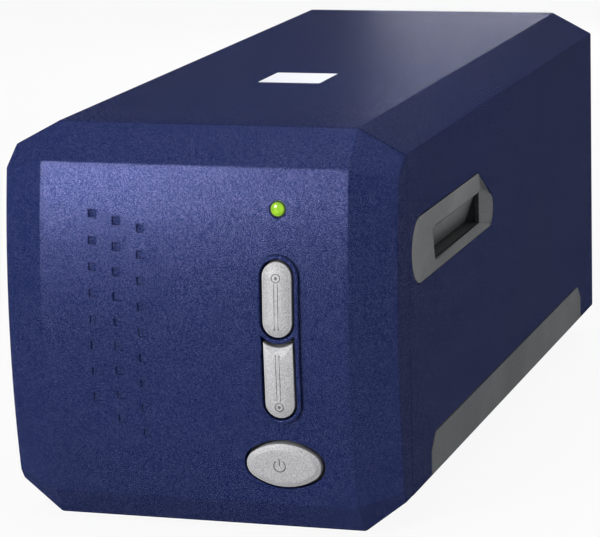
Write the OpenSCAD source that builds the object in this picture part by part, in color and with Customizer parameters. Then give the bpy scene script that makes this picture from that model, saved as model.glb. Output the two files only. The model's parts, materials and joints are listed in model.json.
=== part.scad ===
// Desktop film negative scanner.
// Origin: on the table under the middle of the object. +X right, -Y front, +Z up.

/* [Overall] */
// Width of the housing, side to side
body_w = 120; // [112:1:150]
// Height of the housing without its feet
body_h = 118; // [114:1:145]
// Length from the button faces to the back edge
total_l = 272; // [266:1:330]
// Height that the feet stand out under the base
foot_h = 1; // [0.8:0.1:2]
// Thickness of the moulded walls
wall = 2.5; // [2:0.1:3]
// Open seam between the front bezel and the cover
seam_gap = 0.3; // [0.2:0.05:0.5]
// Clearance of parts that slip into one another
slip = 0.2; // [0.15:0.05:0.3]

/* [Edge bevels] */
// Sideways run of the bevel along the top edges
top_bevel_w = 14.2; // [10:0.1:18]
// Drop of the bevel along the top edges
top_bevel_h = 7.5; // [5:0.1:9]
// Sideways run of the bevel along the bottom edges
base_bevel_w = 12.5; // [10:0.1:14]
// Rise of the bevel along the bottom edges
base_bevel_h = 9.6; // [7:0.1:10.5]

/* [Front bezel] */
// Depth of the bezel from its foremost point to the seam
bezel_depth = 18; // [16:0.5:22]
// Radius of the bowed front, about a crosswise axis
front_r = 285; // [240:5:400]
// Sideways run of the bevel at each side of the front
side_bevel_w = 13.2; // [10:0.1:16]
// Depth of the bevel at each side of the front
side_bevel_d = 5.9; // [4:0.1:8]
// Height of the slope above the front face
top_slope_h = 9.6; // [7:0.1:12]
// Height of the slope below the front face
base_slope_h = 8.7; // [6:0.1:10]
// Depth of the slope below the front face
base_slope_d = 6.4; // [5:0.1:8]
// Height of the lowest point of each side bevel above the base
side_bevel_foot = 12.8; // [11.5:0.1:15]

/* [Front details] */
// Side of each square dimple
dot_w = 2.4; // [1.6:0.1:3.2]
// Depth of each dimple
dot_depth = 0.6; // [0.3:0.1:1]
// Bore that the status lens sits in
status_bore = 5; // [4:0.1:6]
// Height of the status lens above the base
status_z = 96.6; // [92:0.1:100]
// Height of the raised rim round the scan buttons
rim_h = 1.2; // [0.6:0.1:2]
// Width of the rim's land beside the button opening
rim_land = 1.35; // [0.8:0.05:1.6]

/* [Buttons] */
// Distance of the button column from the middle
button_x = 26; // [22:0.5:28]
// Width of the scan buttons
button_w = 8.9; // [7:0.1:10]
// Lowest edge of the lower scan button above the base
button_low = 35.9; // [34:0.1:38]
// Highest edge of the upper scan button above the base
button_high = 81.9; // [78:0.1:84]
// Lowest edge of the upper scan button above the base
button_mid = 59.9; // [56:0.1:62]
// Radius of the hollow top of the lower scan button
hollow_r = 7.35; // [6.8:0.05:8]
// How far the button faces stand out of the bezel
button_proud = 2; // [1:0.1:3]
// Gap between a scan button and its opening
button_gap = 0.65; // [0.3:0.05:0.8]
// Gap over the hollow top of the lower scan button
hollow_gap = 0.95; // [0.6:0.05:1]
// Travel of the buttons
button_travel = 0.8; // [0.4:0.1:1]
// Width of the power button
power_w = 22.6; // [18:0.2:24]
// Height of the power button
power_h = 13.4; // [10:0.2:14]
// Radius of the power button's narrow ends
power_end_r = 4.6; // [4:0.1:5]
// Middle of the power button above the base
power_z = 21.3; // [20:0.1:23]
// Gap between the power button and its opening
power_gap = 0.9; // [0.4:0.05:1]

/* [Film slot] */
// Length of the slot that takes the film holder
slot_w = 58; // [52:1:62]
// Height of the slot
slot_h = 9.8; // [8:0.1:11]
// Underside of the slot above the base
slot_low = 72.6; // [71:0.1:75]
// Middle of the slot from the middle of the object
slot_y = -54.4; // [-57:0.1:-53]
// Radius of the slot surround's round end
surround_r = 10; // [9.5:0.1:12]
// Middle of the surround above the base
surround_z = 80.2; // [79:0.1:82]
// Reach of the surround from the slot's middle to its round end
surround_front = 58; // [56:0.5:62]
// Reach of the surround from the slot's middle to its back end
surround_back = 40; // [38:0.5:44]
// Depth of the surround's dished face
dish_depth = 2; // [1:0.1:2.4]
// Angle at which a dust flap hangs at rest
flap_lean = 19; // [10:1:25]
// Thickness of a dust flap
flap_t = 1.2; // [1:0.1:1.6]
// Diameter of a flap's hinge pin
flap_pin_d = 1.6; // [1.4:0.1:2]

/* [Side strips and label] */
// Length of the grey strip low on each side
strip_l = 210; // [180:1:220]
// Height of the strip
strip_h = 12.4; // [8:0.2:14]
// Depth of the strip in its recess
strip_t = 1.2; // [0.8:0.1:1.6]
// Front end of the strip behind the seam
strip_start = 21.5; // [15:0.5:30]
// Side of the square top label
label_w = 20.5; // [15:0.5:30]
// Middle of the label from the middle of the object
label_y = -27.4; // [-60:0.2:0]
// Depth of the label's recess
label_t = 0.2; // [0.1:0.05:0.4]

/* [Carriage] */
// Travel of the scanning carriage
scan_travel = 36; // [30:1:38]
// Width of the carriage
carriage_w = 52; // [48:1:56]
// Wall of the carriage
carriage_wall = 2.2; // [1.8:0.1:2.6]
// Underside of the carriage above the base
carriage_low = 25; // [24:0.5:26]
// Distance from the scan line to the sensor wall
sensor_reach = 124; // [115:1:128]
// Height of the optical axis above the base
axis_z = 43; // [42:0.5:44]
// Diameter of the lens barrel
lens_d = 18; // [14:0.5:19]

/* [Guides and drive] */
// Diameter of the guide rods
rod_d = 6; // [5:0.5:7]
// Distance of each rod from the housing's side
rod_inset = 16; // [15:0.5:17]
// Height of the rods above the base
rod_z = 44; // [43:0.5:45]
// Running clearance round the rods and the screw
run_gap = 0.05; // [0.03:0.01:0.08]
// Outer diameter of the bushes on the rods
bush_d = 9; // [8:0.5:10]
// Diameter of the lead screw
screw_d = 5; // [4:0.5:5.5]
// Distance of the lead screw from the left rod
screw_inset = 11.5; // [11.5:0.5:12]
// Height of the lead screw above the base
screw_z = 34.5; // [34:0.5:35]
// Diameter of the stepper motor
motor_d = 25; // [22:0.5:26]
// Length of the stepper motor
motor_l = 16; // [14:0.5:17]

/* [Electronics] */
// Thickness of the circuit boards
board_t = 1.6; // [1:0.1:2]
// Width of the main board
board_w = 76; // [66:1:78]
// Length of the main board
board_l = 138; // [120:1:145]
// Height of the main board's underside above the base
board_z = 7; // [6:0.5:8]
// Diameter of the board screws
board_screw_d = 2.6; // [2:0.1:3]

/* [Hidden] */
$fn = 96;
eps = 0.01;
fine = 720;

// Outer planes of the housing
side_x = body_w / 2;
base_z = foot_h;
top_z = foot_h + body_h;
front_y = -total_l / 2 + button_proud;
back_y = total_l / 2;
seam_y = front_y + bezel_depth;
side_low_z = base_z + base_bevel_h;
floor_z = base_z + wall;

// Bowed front face and the slopes round it
bow_y = front_y + front_r;
bow_z = base_z + body_h / 2 - 0.4;
face_x = side_x - side_bevel_w;
bevel_fall = side_bevel_d / side_bevel_w;
face_top_z = top_z - top_slope_h;
face_low_z = base_z + base_slope_h;
face_top_y = bow_y - sqrt(front_r ^ 2 - (face_top_z - bow_z) ^ 2);
face_low_y = bow_y - sqrt(front_r ^ 2 - (face_low_z - bow_z) ^ 2);
low_edge_y = face_low_y + base_slope_d;
top_pitch = (top_z - face_top_z) / (seam_y - face_top_y);
base_pitch = (base_z - face_low_z) / base_slope_d;
side_foot_z = base_z + side_bevel_foot;
side_foot_y = bow_y - sqrt((front_r - side_bevel_d) ^ 2 - (side_foot_z - bow_z) ^ 2);
top_corner = [
    [face_x, face_top_y, face_top_z],
    [side_x - top_bevel_w, seam_y, top_z],
    [side_x, seam_y, top_z - top_bevel_h]
];
base_corner = [
    [face_x, face_low_y, face_low_z],
    [side_x, side_foot_y, side_foot_z],
    [side_x - base_bevel_w, low_edge_y, base_z]
];

// Lips that key the bezel into the cover, and the base into the cover
lip_l = 4;
lip_t = 1.5;

// Dimples: columns from the left, each [x, highest z above the base, count, spacing]
dot_columns = [[-30.5, 93.7, 8, 7.8], [-23.1, 91.7, 9, 7.38], [-15.6, 89.8, 9, 7.64]];

// Button stack, from the bezel inwards
sleeve_t = 1.2;
sleeve_y = front_y + wall + 4;
flange_t = 1.2;
flange_lap = 0.6;
hollow_lap = 0.35;
stem_gap_y = sleeve_y + flange_t;
plunger_r = 1.7;
plunger_l = 2.4;
switch_w = 6;
switch_h = 3.4;
stem_y = stem_gap_y + 1.2;
switch_y = stem_y + button_travel;
button_board_y = switch_y + switch_h;
button_board_back = button_board_y + board_t;
button_board_w = 30;
button_board_low = base_z + 12;
button_board_high = base_z + 103;
button_board_screws = [
    [button_x - 12, button_board_low + 35], [button_x + 12, button_board_low + 35],
    [button_x - 12, button_board_high - 5], [button_x + 12, button_board_high - 5]
];
button_r = button_w / 2;
button_mid_1 = base_z + (button_mid + button_high) / 2;
button_arc_z = base_z + button_mid + button_r;
button_top_arc_z = base_z + button_high - button_r;
button_low_arc_z = base_z + button_low + button_r;
hollow_edge_z = button_arc_z - sqrt(hollow_r ^ 2 - button_r ^ 2);
button_mid_2 = (base_z + button_low + hollow_edge_z) / 2;
rim_gap = button_gap + rim_land;

// Film slot and its surround
slot_low_z = base_z + slot_low;
slot_top_z = slot_low_z + slot_h;
slot_front_y = slot_y - slot_w / 2;
slot_back_y = slot_y + slot_w / 2;
surround_mid_z = base_z + surround_z;
surround_front_y = slot_y - surround_front + surround_r;
surround_back_r = 5.7;
surround_back_y = slot_y + surround_back - surround_back_r;
surround_back_z = surround_mid_z - surround_r + surround_back_r;
surround_slope = 30;
skin_lap = 2;
bezel_skin_x = side_x - wall - 1.8;
flange_x = side_x - wall - slip;
dish_x = side_x - dish_depth;
opening_x = dish_x - 1.3;
funnel_t = 1.5;
funnel_x = side_x - 18.7;
funnel_play = 1;
pocket_front_y = slot_front_y - funnel_play;
pocket_back_y = slot_back_y + funnel_play;
pocket_low_z = slot_low_z;
knuckle_r = 1.7;
pin_x_right = opening_x - knuckle_r - 0.4;
pin_x_left = -funnel_x - knuckle_r - 1.2;
flap_pin_z = slot_top_z + knuckle_r + slip;
pocket_top_z = flap_pin_z + knuckle_r + 0.8;
flap_w = slot_w - 1;
flap_l = (flap_pin_z - slot_low_z - 0.6) / cos(flap_lean);
flap_reach = knuckle_r + 0.5;
spring_l = 5;
spring_r = 1.5;

// Film guide between the two surrounds
guide_x = funnel_x - seam_gap;
guide_t = 1.6;
guide_play = 0.4;
guide_front_y = slot_front_y - guide_play;
guide_back_y = slot_back_y + guide_play;
scan_home_y = slot_y + scan_travel / 2;
window_x = 20;
window_margin = 3;
wing_t = 1.6;
wing_x = side_x - 5;
leg_x = side_x - 9;
guide_leg_w = 6;
detent_half_l = 16.5;
detent_margin = 2;
pad_top_z = base_z + 11.5;

// Guides and drive
rod_x = side_x - rod_inset;
rod_mid_z = base_z + rod_z;
rod_r = rod_d / 2;
block_t = 6;
front_block_y = seam_y + lip_l + 5;
rear_block_y = back_y - 32;
block_x = side_x - 8;
block_top_z = rod_mid_z + 8;
arch_x = board_w / 2 + 1;
block_screw_x = side_x - base_bevel_w - 4;
arch_top_z = base_z + 23;
screw_x = -rod_x + screw_inset;
screw_mid_z = base_z + screw_z;
screw_r = screw_d / 2;
shaft_r = 2;
bearing_r = 4.5;
motor_y = rear_block_y + block_t;
motor_plate_t = 1;
motor_ear_x = 16;
rotor_r = 8;
rotor_l = 9;
rotor_y = motor_y + 3.5;

// Carriage at its home, behind the film frame
half_w = carriage_w / 2;
inner_w = half_w - carriage_wall;
tub_low_z = base_z + carriage_low;
tub_top_z = slot_low_z - guide_t - wing_t - 9;
tub_front_y = scan_home_y - 12;
sensor_wall_y = scan_home_y + sensor_reach;
tub_back_y = sensor_wall_y + carriage_wall;
optic_z = base_z + axis_z;
web_y = guide_back_y + guide_t + scan_travel + 3;
web_l = 16;
arm_low_z = pocket_top_z + funnel_t + 2.6;
arm_t = 2.4;
lamp_w = 2 * (inner_w - slip);
lamp_l = 14;
lamp_h = 9;
lamp_z = arm_low_z - 1;
mirror_w = 44;
mirror_l = 22;
mirror_t = 2;
mirror_shift = mirror_t / sqrt(2);
lens_r = lens_d / 2;
lens_y = scan_home_y + 56;
lens_l = 22;
saddle_x = lens_r + 7;
lug_l = 14;
bush_r = bush_d / 2;
hub_r = bush_r + 1.6;
front_lug_y = tub_front_y + 8;
rear_lug_y = sensor_wall_y - 30;
fork_y = lens_y - 6;
nut_r = screw_r + 2.6;
nut_l = 14;
nut_y = lens_y + 4;
sensor_w = 38;
sensor_h = 10;
sensor_t = 3;
sensor_board_w = 46;
sensor_board_low = tub_low_z + 3;
sensor_board_high = tub_top_z - 2;

// Main board and its sockets
main_low_z = base_z + board_z;
main_top_z = main_low_z + board_t;
panel_back_y = back_y - 2.5;
panel_y = panel_back_y - wall;
tongue_y = 0.6;
tongue_t = 1.2;
tongue_l = 0.8;
board_back_y = panel_y - 1;
board_front_y = board_back_y - board_l;
standoff_r = 3;
standoff_x = board_w / 2 - 4;
standoff_front_y = board_front_y + 6;
standoff_back_y = board_back_y - 16;
usb_x = 20;
usb_w = 12;
usb_h = 11;
usb_l = 16;
usb_mouth_w = 8.45;
usb_mouth_h = 7.8;
jack_x = 2;
jack_w = 9;
jack_h = 11;
jack_l = 14;
jack_bore_r = 3;
jack_pin_r = 1;
flag_x = half_w + 5;
flag_t = 1;
flag_y = sensor_wall_y - 40;
flag_l = 6;

// Fastenings between base and cover
post_x = side_x - 17;
post_r = 3.6;
post_front_y = seam_y + 22;
post_back_y = back_y - 20;
post_top_z = floor_z + 18;
cover_screw_r = 1.5;
cover_head_r = 2.8;
thread_r = cover_screw_r - 0.2;
head_depth = 2;
foot_r = 7;
foot_x = side_x - 30;
foot_front_y = seam_y + 17;
foot_back_y = back_y - 19;

// Length left of a bevel leg when its corner is set in by w
function leg(a, b, w) = a + w * (norm([a, b]) - a - b) / b;

// Height of the slopes above and below the front face, set in by w
function top_slope_z(y, w) = face_top_z + top_pitch * (y - face_top_y) - w * sqrt(1 + top_pitch ^ 2);
function base_slope_z(y, w) = face_low_z + base_pitch * (y - face_low_y) + w * sqrt(1 + base_pitch ^ 2);
function top_slope_y(w) = face_top_y + (top_z - w - face_top_z + w * sqrt(1 + top_pitch ^ 2)) / top_pitch;
function base_slope_y(w) = face_low_y + (base_z + w - face_low_z - w * sqrt(1 + base_pitch ^ 2)) / base_pitch;

// Depth of the bowed front at height z
function bow(z, r = front_r) = bow_y - sqrt(r ^ 2 - (z - bow_z) ^ 2);

// Extrude an XZ outline along Y
module along_y(y0, y1) {
    translate([0, y1, 0]) rotate([90, 0, 0]) linear_extrude(height = y1 - y0) children();
}

// Extrude a YZ outline along X
module along_x(x0, x1) {
    translate([x0, 0, 0]) rotate([90, 0, 90]) linear_extrude(height = x1 - x0) children();
}

// Round bar along Y, from y0 to y1
module bar_y(x, z, r, y0, y1) {
    translate([x, y1, z]) rotate([90, 0, 0]) cylinder(r = r, h = y1 - y0);
}

// Box between two corners
module block(low, high) {
    translate(low) cube(high - low);
}

// Both mirror images across the middle plane
module both_sides() {
    children();
    mirror([1, 0, 0]) children();
}

// Cross-section of the housing, set in by w
module housing_outline(w) {
    x = side_x - w;
    tw = leg(top_bevel_w, top_bevel_h, w);
    th = leg(top_bevel_h, top_bevel_w, w);
    bw = leg(base_bevel_w, base_bevel_h, w);
    bh = leg(base_bevel_h, base_bevel_w, w);
    polygon([
        [x - bw, base_z + w], [x, base_z + w + bh], [x, top_z - w - th], [x - tw, top_z - w],
        [tw - x, top_z - w], [-x, top_z - w - th], [-x, base_z + w + bh], [bw - x, base_z + w]
    ]);
}

// Half-space behind the plane through three points, set in by w
module behind_plane(p, w) {
    reach = total_l;
    n = cross(p[1] - p[0], p[2] - p[0]);
    u = (n.y < 0 ? n : -n) / norm(n);
    translate(p[0] - u * w) rotate([0, acos(u.z), atan2(u.y, u.x)])
        translate([-reach, -reach, -reach]) cube([2 * reach, 2 * reach, reach]);
}

module corner_planes(w) {
    intersection() {
        behind_plane(top_corner, w);
        behind_plane(base_corner, w);
    }
}

// Bowed front with its side bevels, turned about a crosswise axis
module bowed_front(w) {
    lean = sqrt(1 + bevel_fall ^ 2);
    flat_x = face_x - w * (lean - 1) / bevel_fall;
    edge_r = front_r - side_bevel_d - w * lean;
    translate([0, bow_y, bow_z]) rotate([0, 90, 0]) rotate_extrude($fn = fine)
        polygon([
            [0, -side_x], [edge_r, -side_x], [front_r - w, -flat_x],
            [front_r - w, flat_x], [edge_r, side_x], [0, side_x]
        ]);
}

// Solid form of the front, set in by w and ending at y_end
module front_form(w, y_end) {
    intersection() {
        along_y(front_y - 1, y_end) housing_outline(w);
        along_x(-side_x, side_x) polygon([
            [y_end + 1, base_z + w], [base_slope_y(w), base_z + w],
            [front_y - 1, base_slope_z(front_y - 1, w)], [front_y - 1, top_slope_z(front_y - 1, w)],
            [top_slope_y(w), top_z - w], [y_end + 1, top_z - w]
        ]);
        bowed_front(w);
        corner_planes(w);
        mirror([1, 0, 0]) corner_planes(w);
    }
}

// Outline of the upper scan button, grown by g
module button_1_outline(g) {
    translate([button_x, button_arc_z]) circle(r = button_r + g);
    translate([button_x, button_top_arc_z]) circle(r = button_r + g);
    translate([button_x - button_r - g, button_arc_z])
        square([button_w + 2 * g, button_top_arc_z - button_arc_z]);
}

// Outline of the lower scan button, grown by g, and by top where it follows the upper button's end
module button_2_outline(g, top) {
    difference() {
        union() {
            translate([button_x, button_low_arc_z]) circle(r = button_r + g);
            translate([button_x - button_r - g, button_low_arc_z])
                square([button_w + 2 * g, button_arc_z - button_low_arc_z]);
        }
        translate([button_x, button_arc_z]) circle(r = hollow_r - top);
        translate([button_x - hollow_r, button_arc_z]) square([2 * hollow_r, hollow_r]);
    }
}

// Four-arc oval of width w and height h, grown by g; the flat arcs stop just inside the round ends
module oval(w, h, g) {
    a = w / 2 - power_end_r;
    b = h / 2 - power_end_r;
    k = (a ^ 2 - b ^ 2) / (2 * b);
    flat_r = h / 2 + k + g;
    join_x = 0.99 * a * flat_r / norm([a, k]);
    for (x = [-a, a]) translate([x, 0]) circle(r = power_end_r + g);
    intersection() {
        translate([0, -k]) circle(r = flat_r);
        translate([0, k]) circle(r = flat_r);
        square([2 * join_x, 2 * h], center = true);
    }
}

module power_outline(g) {
    translate([button_x, base_z + power_z]) oval(power_w, power_h, g);
}

// Rounded rim outline round both scan buttons, grown by g
module rim_outline(g) {
    for (z = [button_low_arc_z, button_top_arc_z]) translate([button_x, z]) circle(r = button_r + g);
    translate([button_x - button_r - g, button_low_arc_z])
        square([button_w + 2 * g, button_top_arc_z - button_low_arc_z]);
}

// Wall that the buttons slide in, cut to follow the bowed front
module button_sleeves() {
    intersection() {
        along_y(front_y - 1, sleeve_y) {
            rim_outline(button_gap + sleeve_t);
            power_outline(power_gap + sleeve_t);
        }
        bowed_front(wall / 2);
    }
}

module front_bezel() {
    color("midnightblue") difference() {
        union() {
            difference() {
                front_form(0, seam_y);
                front_form(wall, seam_y + 1);
            }
            intersection() {
                along_y(front_y - rim_h, front_y + wall + 3) rim_outline(rim_gap);
                rim_barrel();
            }
            button_sleeves();
            bezel_lip();
            bezel_posts();
        }
        along_y(front_y - 2 * rim_h, sleeve_y + 1) {
            button_1_outline(button_gap);
            button_2_outline(button_gap, hollow_gap);
            power_outline(power_gap);
        }
        bar_y(button_x, base_z + status_z, status_bore / 2, front_y - 1, sleeve_y);
        dimples();
        for (p = button_board_screws)
            bar_y(p.x, p.y, board_screw_d / 2 - 0.2, button_board_y - 5, button_board_y + 1);
    }
}

// Curved slab that gives the rim its bowed face
module rim_barrel() {
    translate([-side_x, bow_y, bow_z]) rotate([0, 90, 0]) difference() {
        cylinder(r = front_r + rim_h, h = body_w, $fn = fine);
        cylinder(r = front_r - wall / 2, h = body_w, $fn = fine);
    }
}

// Lip behind the seam: it starts inside the bezel wall, enters the cover and clears the surrounds
module bezel_lip() {
    inset = wall + slip;
    difference() {
        front_form(wall - 0.5, seam_y);
        front_form(inset + lip_t, seam_y + 1);
        block([-side_x, front_y - 2, 0], [side_x, seam_y - 3, top_z]);
    }
    difference() {
        along_y(seam_y - eps, seam_y + lip_l) housing_outline(inset);
        along_y(seam_y - 1, seam_y + lip_l + 1) housing_outline(inset + lip_t);
        along_x(-side_x, side_x) surround_outline(skin_lap + 2 * slip);
    }
}

module bezel_posts() {
    for (p = button_board_screws) intersection() {
        bar_y(p.x, p.y, 2.6, front_y + wall / 2, button_board_y);
        front_form(wall / 2, seam_y);
    }
}

module dimples() {
    for (c = dot_columns, i = [0:c[2] - 1]) {
        z = base_z + c[1] - i * c[3];
        y = bow(z);
        translate([c[0] - dot_w / 2, y - 1, z - dot_w / 2]) cube([dot_w, 1 + dot_depth, dot_w]);
    }
}

// Button cap: it follows the bowed front and has a flange behind the bezel
module button_cap(mid_z) {
    intersection() {
        along_y(front_y - button_proud - 1, sleeve_y + flange_t) children(0);
        translate([-side_x, bow_y, bow_z]) rotate([0, 90, 0])
            cylinder(r = front_r + button_proud, h = body_w, $fn = fine);
    }
    along_y(sleeve_y, sleeve_y + flange_t) children(1);
    bar_y(button_x, mid_z, plunger_r, sleeve_y, stem_y);
}

module scan_button_1() {
    color("silver") difference() {
        button_cap(button_mid_1) {
            button_1_outline(0);
            button_1_outline(button_gap + flange_lap);
        }
        mark(base_z + 77.3);
    }
}

module scan_button_2() {
    color("silver") difference() {
        button_cap(button_mid_2) {
            button_2_outline(0, 0);
            button_2_outline(button_gap + flange_lap, hollow_gap + hollow_lap);
        }
        mark(base_z + 39.4);
    }
}

// Small ring engraved in a scan button
module mark(z) {
    y = bow(z, front_r + button_proud);
    difference() {
        bar_y(button_x, z, 1.35, y - 1, y + 0.25);
        bar_y(button_x, z, 1, y - 2, y + 1);
    }
}

module power_button() {
    y = bow(base_z + power_z, front_r + button_proud);
    color("silver") difference() {
        button_cap(base_z + power_z) {
            power_outline(0);
            power_outline(power_gap + flange_lap);
        }
        along_y(y - 2, y + 0.35) translate([button_x, base_z + power_z]) {
            difference() {
                circle(r = 2.1);
                circle(r = 1.65);
                translate([-0.7, 0]) square([1.4, 3]);
            }
            translate([-0.22, -0.3]) square([0.44, 2.7]);
        }
    }
}

module plunger(z) {
    color("black") bar_y(button_x, z, plunger_r, stem_y, stem_y + plunger_l);
}

module switch_plunger_1() { plunger(button_mid_1); }
module switch_plunger_2() { plunger(button_mid_2); }
module switch_plunger_power() { plunger(base_z + power_z); }

module switch_bodies() {
    color("dimgray") for (z = [button_mid_1, button_mid_2, base_z + power_z]) difference() {
        block([button_x - switch_w / 2, switch_y, z - switch_w / 2],
              [button_x + switch_w / 2, button_board_y, z + switch_w / 2]);
        bar_y(button_x, z, plunger_r + slip, switch_y - 1, switch_y + plunger_l + 0.2);
    }
}

module button_board() {
    color("darkgreen") difference() {
        block([button_x - button_board_w / 2, button_board_y, button_board_low],
              [button_x + button_board_w / 2, button_board_back, button_board_high]);
        for (p = button_board_screws)
            bar_y(p.x, p.y, board_screw_d / 2 + slip, button_board_y - 1, button_board_back + 1);
    }
}

module button_board_screws() {
    color("gray") for (p = button_board_screws) {
        bar_y(p.x, p.y, board_screw_d / 2 - 0.2, button_board_y - 4, button_board_back + eps);
        bar_y(p.x, p.y, board_screw_d, button_board_back, button_board_back + 1.6);
    }
}

// Clear pipe with a domed end, from the lamp on the button board to the front
module status_lens() {
    y = bow(base_z + status_z);
    pipe_r = status_bore / 2 - 0.1;
    pipe_l = button_board_y - y;
    dome_h = 0.7;
    color("yellowgreen") translate([button_x, button_board_y, base_z + status_z]) rotate([90, 0, 0])
        rotate_extrude() polygon(concat(
            [[0, 0], [pipe_r, 0]],
            [for (a = [0:15:75]) [pipe_r * cos(a), pipe_l + dome_h * sin(a)]],
            [[0, pipe_l + dome_h]]
        ));
}

// Outline of the slot surround in the YZ plane, grown by g; its slope ends just inside the back circle
module surround_outline(g) {
    r = surround_r + g;
    n = [sin(surround_slope), cos(surround_slope)];
    touch = [surround_back_y, surround_back_z] + (surround_back_r + g - eps) * n;
    top = surround_mid_z + r;
    ridge_y = touch.x - (top - touch.y) / tan(surround_slope);
    translate([surround_front_y, surround_mid_z]) circle(r = r);
    translate([surround_back_y, surround_back_z]) circle(r = surround_back_r + g);
    polygon([
        [surround_front_y, top], [ridge_y, top], touch, [surround_back_y, surround_back_z],
        [surround_back_y, surround_mid_z - r], [surround_front_y, surround_mid_z - r]
    ]);
}

// Dished face: slopes down to the slot from just outside the surround's outline.
// The third profile follows the slanted edge at the top of the back end.
module dish() {
    edge = 0.4;
    land = 0.2;
    n = [sin(surround_slope), cos(surround_slope)];
    corner_u = [slot_back_y, slot_top_z] * n + land;
    slant_u = [surround_back_y, surround_back_z] * n + surround_back_r + edge;
    intersection() {
        rotate([-surround_slope, 0, 0]) along_y(-top_z - back_y, back_y) polygon([
            [dish_x, 0], [side_x + 1, 0], [side_x + 1, slant_u], [side_x, slant_u], [dish_x, corner_u]
        ]);
        along_y(slot_y - surround_front - 5, slot_y + surround_back + 5) polygon([
            [dish_x, slot_low_z - land], [side_x, surround_mid_z - surround_r - edge],
            [side_x + 1, surround_mid_z - surround_r - edge], [side_x + 1, surround_mid_z + surround_r + edge],
            [side_x, surround_mid_z + surround_r + edge], [dish_x, slot_top_z + land]
        ]);
        linear_extrude(height = top_z) polygon([
            [dish_x, slot_front_y - land], [side_x, slot_y - surround_front - edge],
            [side_x + 1, slot_y - surround_front - edge], [side_x + 1, slot_y + surround_back + edge],
            [side_x, slot_y + surround_back + edge], [dish_x, slot_back_y + land]
        ]);
    }
}

// Grey surround with the pocket that holds a dust flap; pin_x is the flap's hinge line
module slot_bezel(pin_x) {
    difference() {
        union() {
            along_x(flange_x, side_x) surround_outline(-slip);
            along_x(bezel_skin_x, flange_x + eps) surround_outline(skin_lap);
            block([funnel_x, pocket_front_y - funnel_t, pocket_low_z - funnel_t],
                  [bezel_skin_x + eps, pocket_back_y + funnel_t, pocket_top_z + funnel_t]);
        }
        dish();
        block([funnel_x - 1, slot_front_y, slot_low_z], [side_x + 1, slot_back_y, slot_top_z]);
        block([funnel_x - 1, pocket_front_y, pocket_low_z], [opening_x, pocket_back_y, pocket_top_z]);
        bar_y(pin_x, flap_pin_z, flap_pin_d / 2 + run_gap,
              pocket_front_y - funnel_t - 1, pocket_back_y + funnel_t + 1);
    }
}

module slot_bezel_right() { color("dimgray") slot_bezel(pin_x_right); }
module slot_bezel_left() { color("dimgray") mirror([1, 0, 0]) slot_bezel(-pin_x_left); }

// Both flaps swing to the left, the way the film holder goes through
module flap_pin(x) {
    color("silver") bar_y(x, flap_pin_z, flap_pin_d / 2, pocket_front_y - funnel_t, pocket_back_y + funnel_t);
}

module flap_pin_right() { flap_pin(pin_x_right); }
module flap_pin_left() { flap_pin(pin_x_left); }

// Dust flap with its knuckle, which stops short of the spring at the back end;
// a web carries its panel at the distance reach from the hinge line
module dust_flap(x, reach) {
    knuckle_l = flap_w - spring_l - 1;
    panel_l = flap_l - reach * tan(flap_lean);
    panel_x = reach - flap_t / 2;
    color("gray") translate([x, slot_y - flap_w / 2, flap_pin_z]) difference() {
        union() {
            bar_y(0, 0, knuckle_r, 0, knuckle_l);
            rotate([0, flap_lean, 0]) {
                translate([panel_x, 0, -panel_l]) cube([flap_t, flap_w, panel_l - spring_r - 0.4]);
                translate([panel_x, 0, -panel_l / 2]) cube([flap_t, knuckle_l, panel_l / 2 - 1.4]);
                translate([-flap_t / 2, 0, -2.6]) cube([reach + flap_t, knuckle_l, 1.2]);
            }
        }
        bar_y(0, 0, flap_pin_d / 2 + 2 * run_gap, -1, flap_w + 1);
    }
}

module dust_flap_right() { dust_flap(pin_x_right, flap_reach); }
module dust_flap_left() { dust_flap(pin_x_left, 0); }

// Closed-wound return spring with the leg that bears on the flap
module flap_spring(x, reach) {
    color("silver") translate([x, slot_y + flap_w / 2 - 0.5, flap_pin_z]) difference() {
        union() {
            bar_y(0, 0, spring_r, -spring_l, 0);
            rotate([0, flap_lean, 0]) translate([reach - flap_t / 2 - 0.9, -0.6, -5]) cube([0.6, 0.6, 4.2]);
        }
        bar_y(0, 0, flap_pin_d / 2 + 2 * run_gap, -spring_l - 1, 1);
    }
}

module flap_spring_right() { flap_spring(pin_x_right, flap_reach); }
module flap_spring_left() { flap_spring(pin_x_left, 0); }

// Outline of a side strip in the YZ plane, grown by g
module strip_outline(g) {
    y0 = seam_y + strip_start;
    lean = 5;
    polygon([
        [y0 - g, side_low_z - 1], [y0 - g, side_low_z + strip_h - lean + g / 2],
        [y0 + lean - g / 2, side_low_z + strip_h + g], [y0 + strip_l - lean + g / 2, side_low_z + strip_h + g],
        [y0 + strip_l + g, side_low_z + strip_h - lean + g / 2], [y0 + strip_l + g, side_low_z - 1]
    ]);
}

module side_strip() {
    intersection() {
        along_x(side_x - strip_t, side_x) strip_outline(-slip);
        block([0, -total_l, side_low_z], [side_x, total_l, top_z]);
    }
}

module side_strip_right() { color("darkslategray") side_strip(); }
module side_strip_left() { color("darkslategray") mirror([1, 0, 0]) side_strip(); }

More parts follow.
